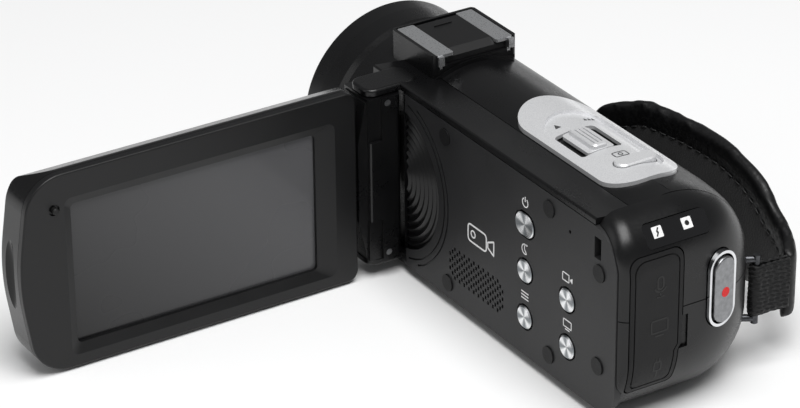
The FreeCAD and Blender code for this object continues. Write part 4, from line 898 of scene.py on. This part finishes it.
def print_camcorder_sign():
    """Outline of a camcorder, ahead of the keys."""
    sign = side_sign("camcorder_sign", "night_light_button", 19.3, -0.3)
    sign.line(rounded_box(-1.2, 0, 8.0, 4.6, 1.0), 0.45, True)
    sign.line([(3.4, -0.7), (6.0, -1.9), (6.0, 1.9), (3.4, 0.7)], 0.45, True)
    sign.line(circle(-3.0, 0, 0.9), 0.4, True)
    sign.finish()


def print_top_signs():
    """One tall tree for tele and three small ones for wide, and a still camera at the photo key."""
    zoom_signs = (("tele_sign", -2.4, ((0.0, 1.9),)),
                  ("wide_sign", 6.9, ((-1.1, 1.2), (0.0, 1.2), (1.1, 1.2))))
    for name, across, trees in zoom_signs:
        sign = Sign(name, "top_panel", from_middle("zoom_lever", across, 9.8, 2), (1, 0, 0), (0, 1, 0),
                    GREY_INK, "dark")
        for a, tall in trees:
            sign.fill([(a - 0.42 * tall, -0.5 * tall), (a + 0.42 * tall, -0.5 * tall), (a, 0.5 * tall)])
        sign.finish()
    place = from_middle("photo_button", -1.1, 4.3, 2)
    sign = Sign("still_camera_sign", "top_panel", place, (1, 0, 0), (0, 1, 0), GREY_INK, "dark")
    sign.line(rounded_box(0, 0, 3.8, 2.2, 0.4), 0.28, True)
    sign.line(circle(0, 0, 0.55), 0.26, True)
    sign.finish()


def cover_sign(name, across, rise):
    """Sign on the port cover, which turns with it."""
    return Sign(name, "port_cover", from_middle("port_cover", across, 0, rise), (1, 0, 0), (0, 0, 1),
                BLACK_INK, "dark", "port_cover")


def print_cover_signs():
    """Microphone, screen and plug, from the top down."""
    sign = cover_sign("microphone_sign", 0.85, 8.9)
    sign.line(rounded_box(0, 1.2, 1.6, 3.2, 0.75), 0.4, True)
    sign.line(circle(0, 0.6, 1.7, 200, 140), 0.4)
    sign.line([(0, -1.1), (0, -2.4)], 0.4)
    sign.line([(-1.1, -2.4), (1.1, -2.4)], 0.4)
    sign.finish()
    sign = cover_sign("screen_sign", 0.85, -1.5)
    sign.line(rounded_box(0, 0.4, 4.6, 3.2, 0.4), 0.42, True)
    sign.line([(-1.2, -2.1), (1.2, -2.1)], 0.42)
    sign.finish()
    sign = cover_sign("plug_sign", 0.65, -12.7)
    sign.line(rounded_box(0, 0.9, 2.0, 2.4, 0.4), 0.4, True)
    sign.line([(0, -0.3), (0, -2.2)], 0.4)
    for a in (-0.5, 0.5):
        sign.line([(a, 2.1), (a, 3.0)], 0.35)
    sign.finish()


def print_rear_signs():
    """Two lit squares with their glyphs in the indicator window, and the red dot on the record key."""
    tilt = math.radians(52)
    window = (from_middle("indicator_window", 0, -1.3, 1.02), (1, 0, 0), (0, math.cos(tilt), math.sin(tilt)))
    lit = Sign("charge_and_busy_signs", "indicator_window", *window, WHITE_INK, "silver")
    for a in (-4.8, 3.4):
        lit.fill(box_line(a, 0.5, 2.7, 2.7))
    lit.finish()
    glyphs = Sign("charge_and_busy_glyphs", "indicator_window", *window, BLACK_INK, "dark", film=0.09)
    glyphs.line([(-4.35, 1.5), (-5.1, 0.45), (-4.5, 0.55), (-5.25, -0.5)], 0.34)
    glyphs.fill(circle(3.4, 0.5, 0.62))
    glyphs.finish()
    turn = math.radians(10.7)
    dot = Sign("record_dot", "record_button", from_middle("record_button", 0.29, -1.39, 0),
               (math.cos(turn), math.sin(turn), 0), (0, 0, 1), RED_INK, "silver", "record_button")
    dot.fill(circle(0.15, -0.6, 1.25))
    dot.finish()


# ---------------------------------------------------------------- build order
place_camera()
light_studio()
lay_floor()
finish_nodes()
make_strap()
print_key_signs()
print_camcorder_sign()
print_top_signs()
print_cover_signs()
print_rear_signs()
bpy.context.scene.view_settings.view_transform = "Standard"
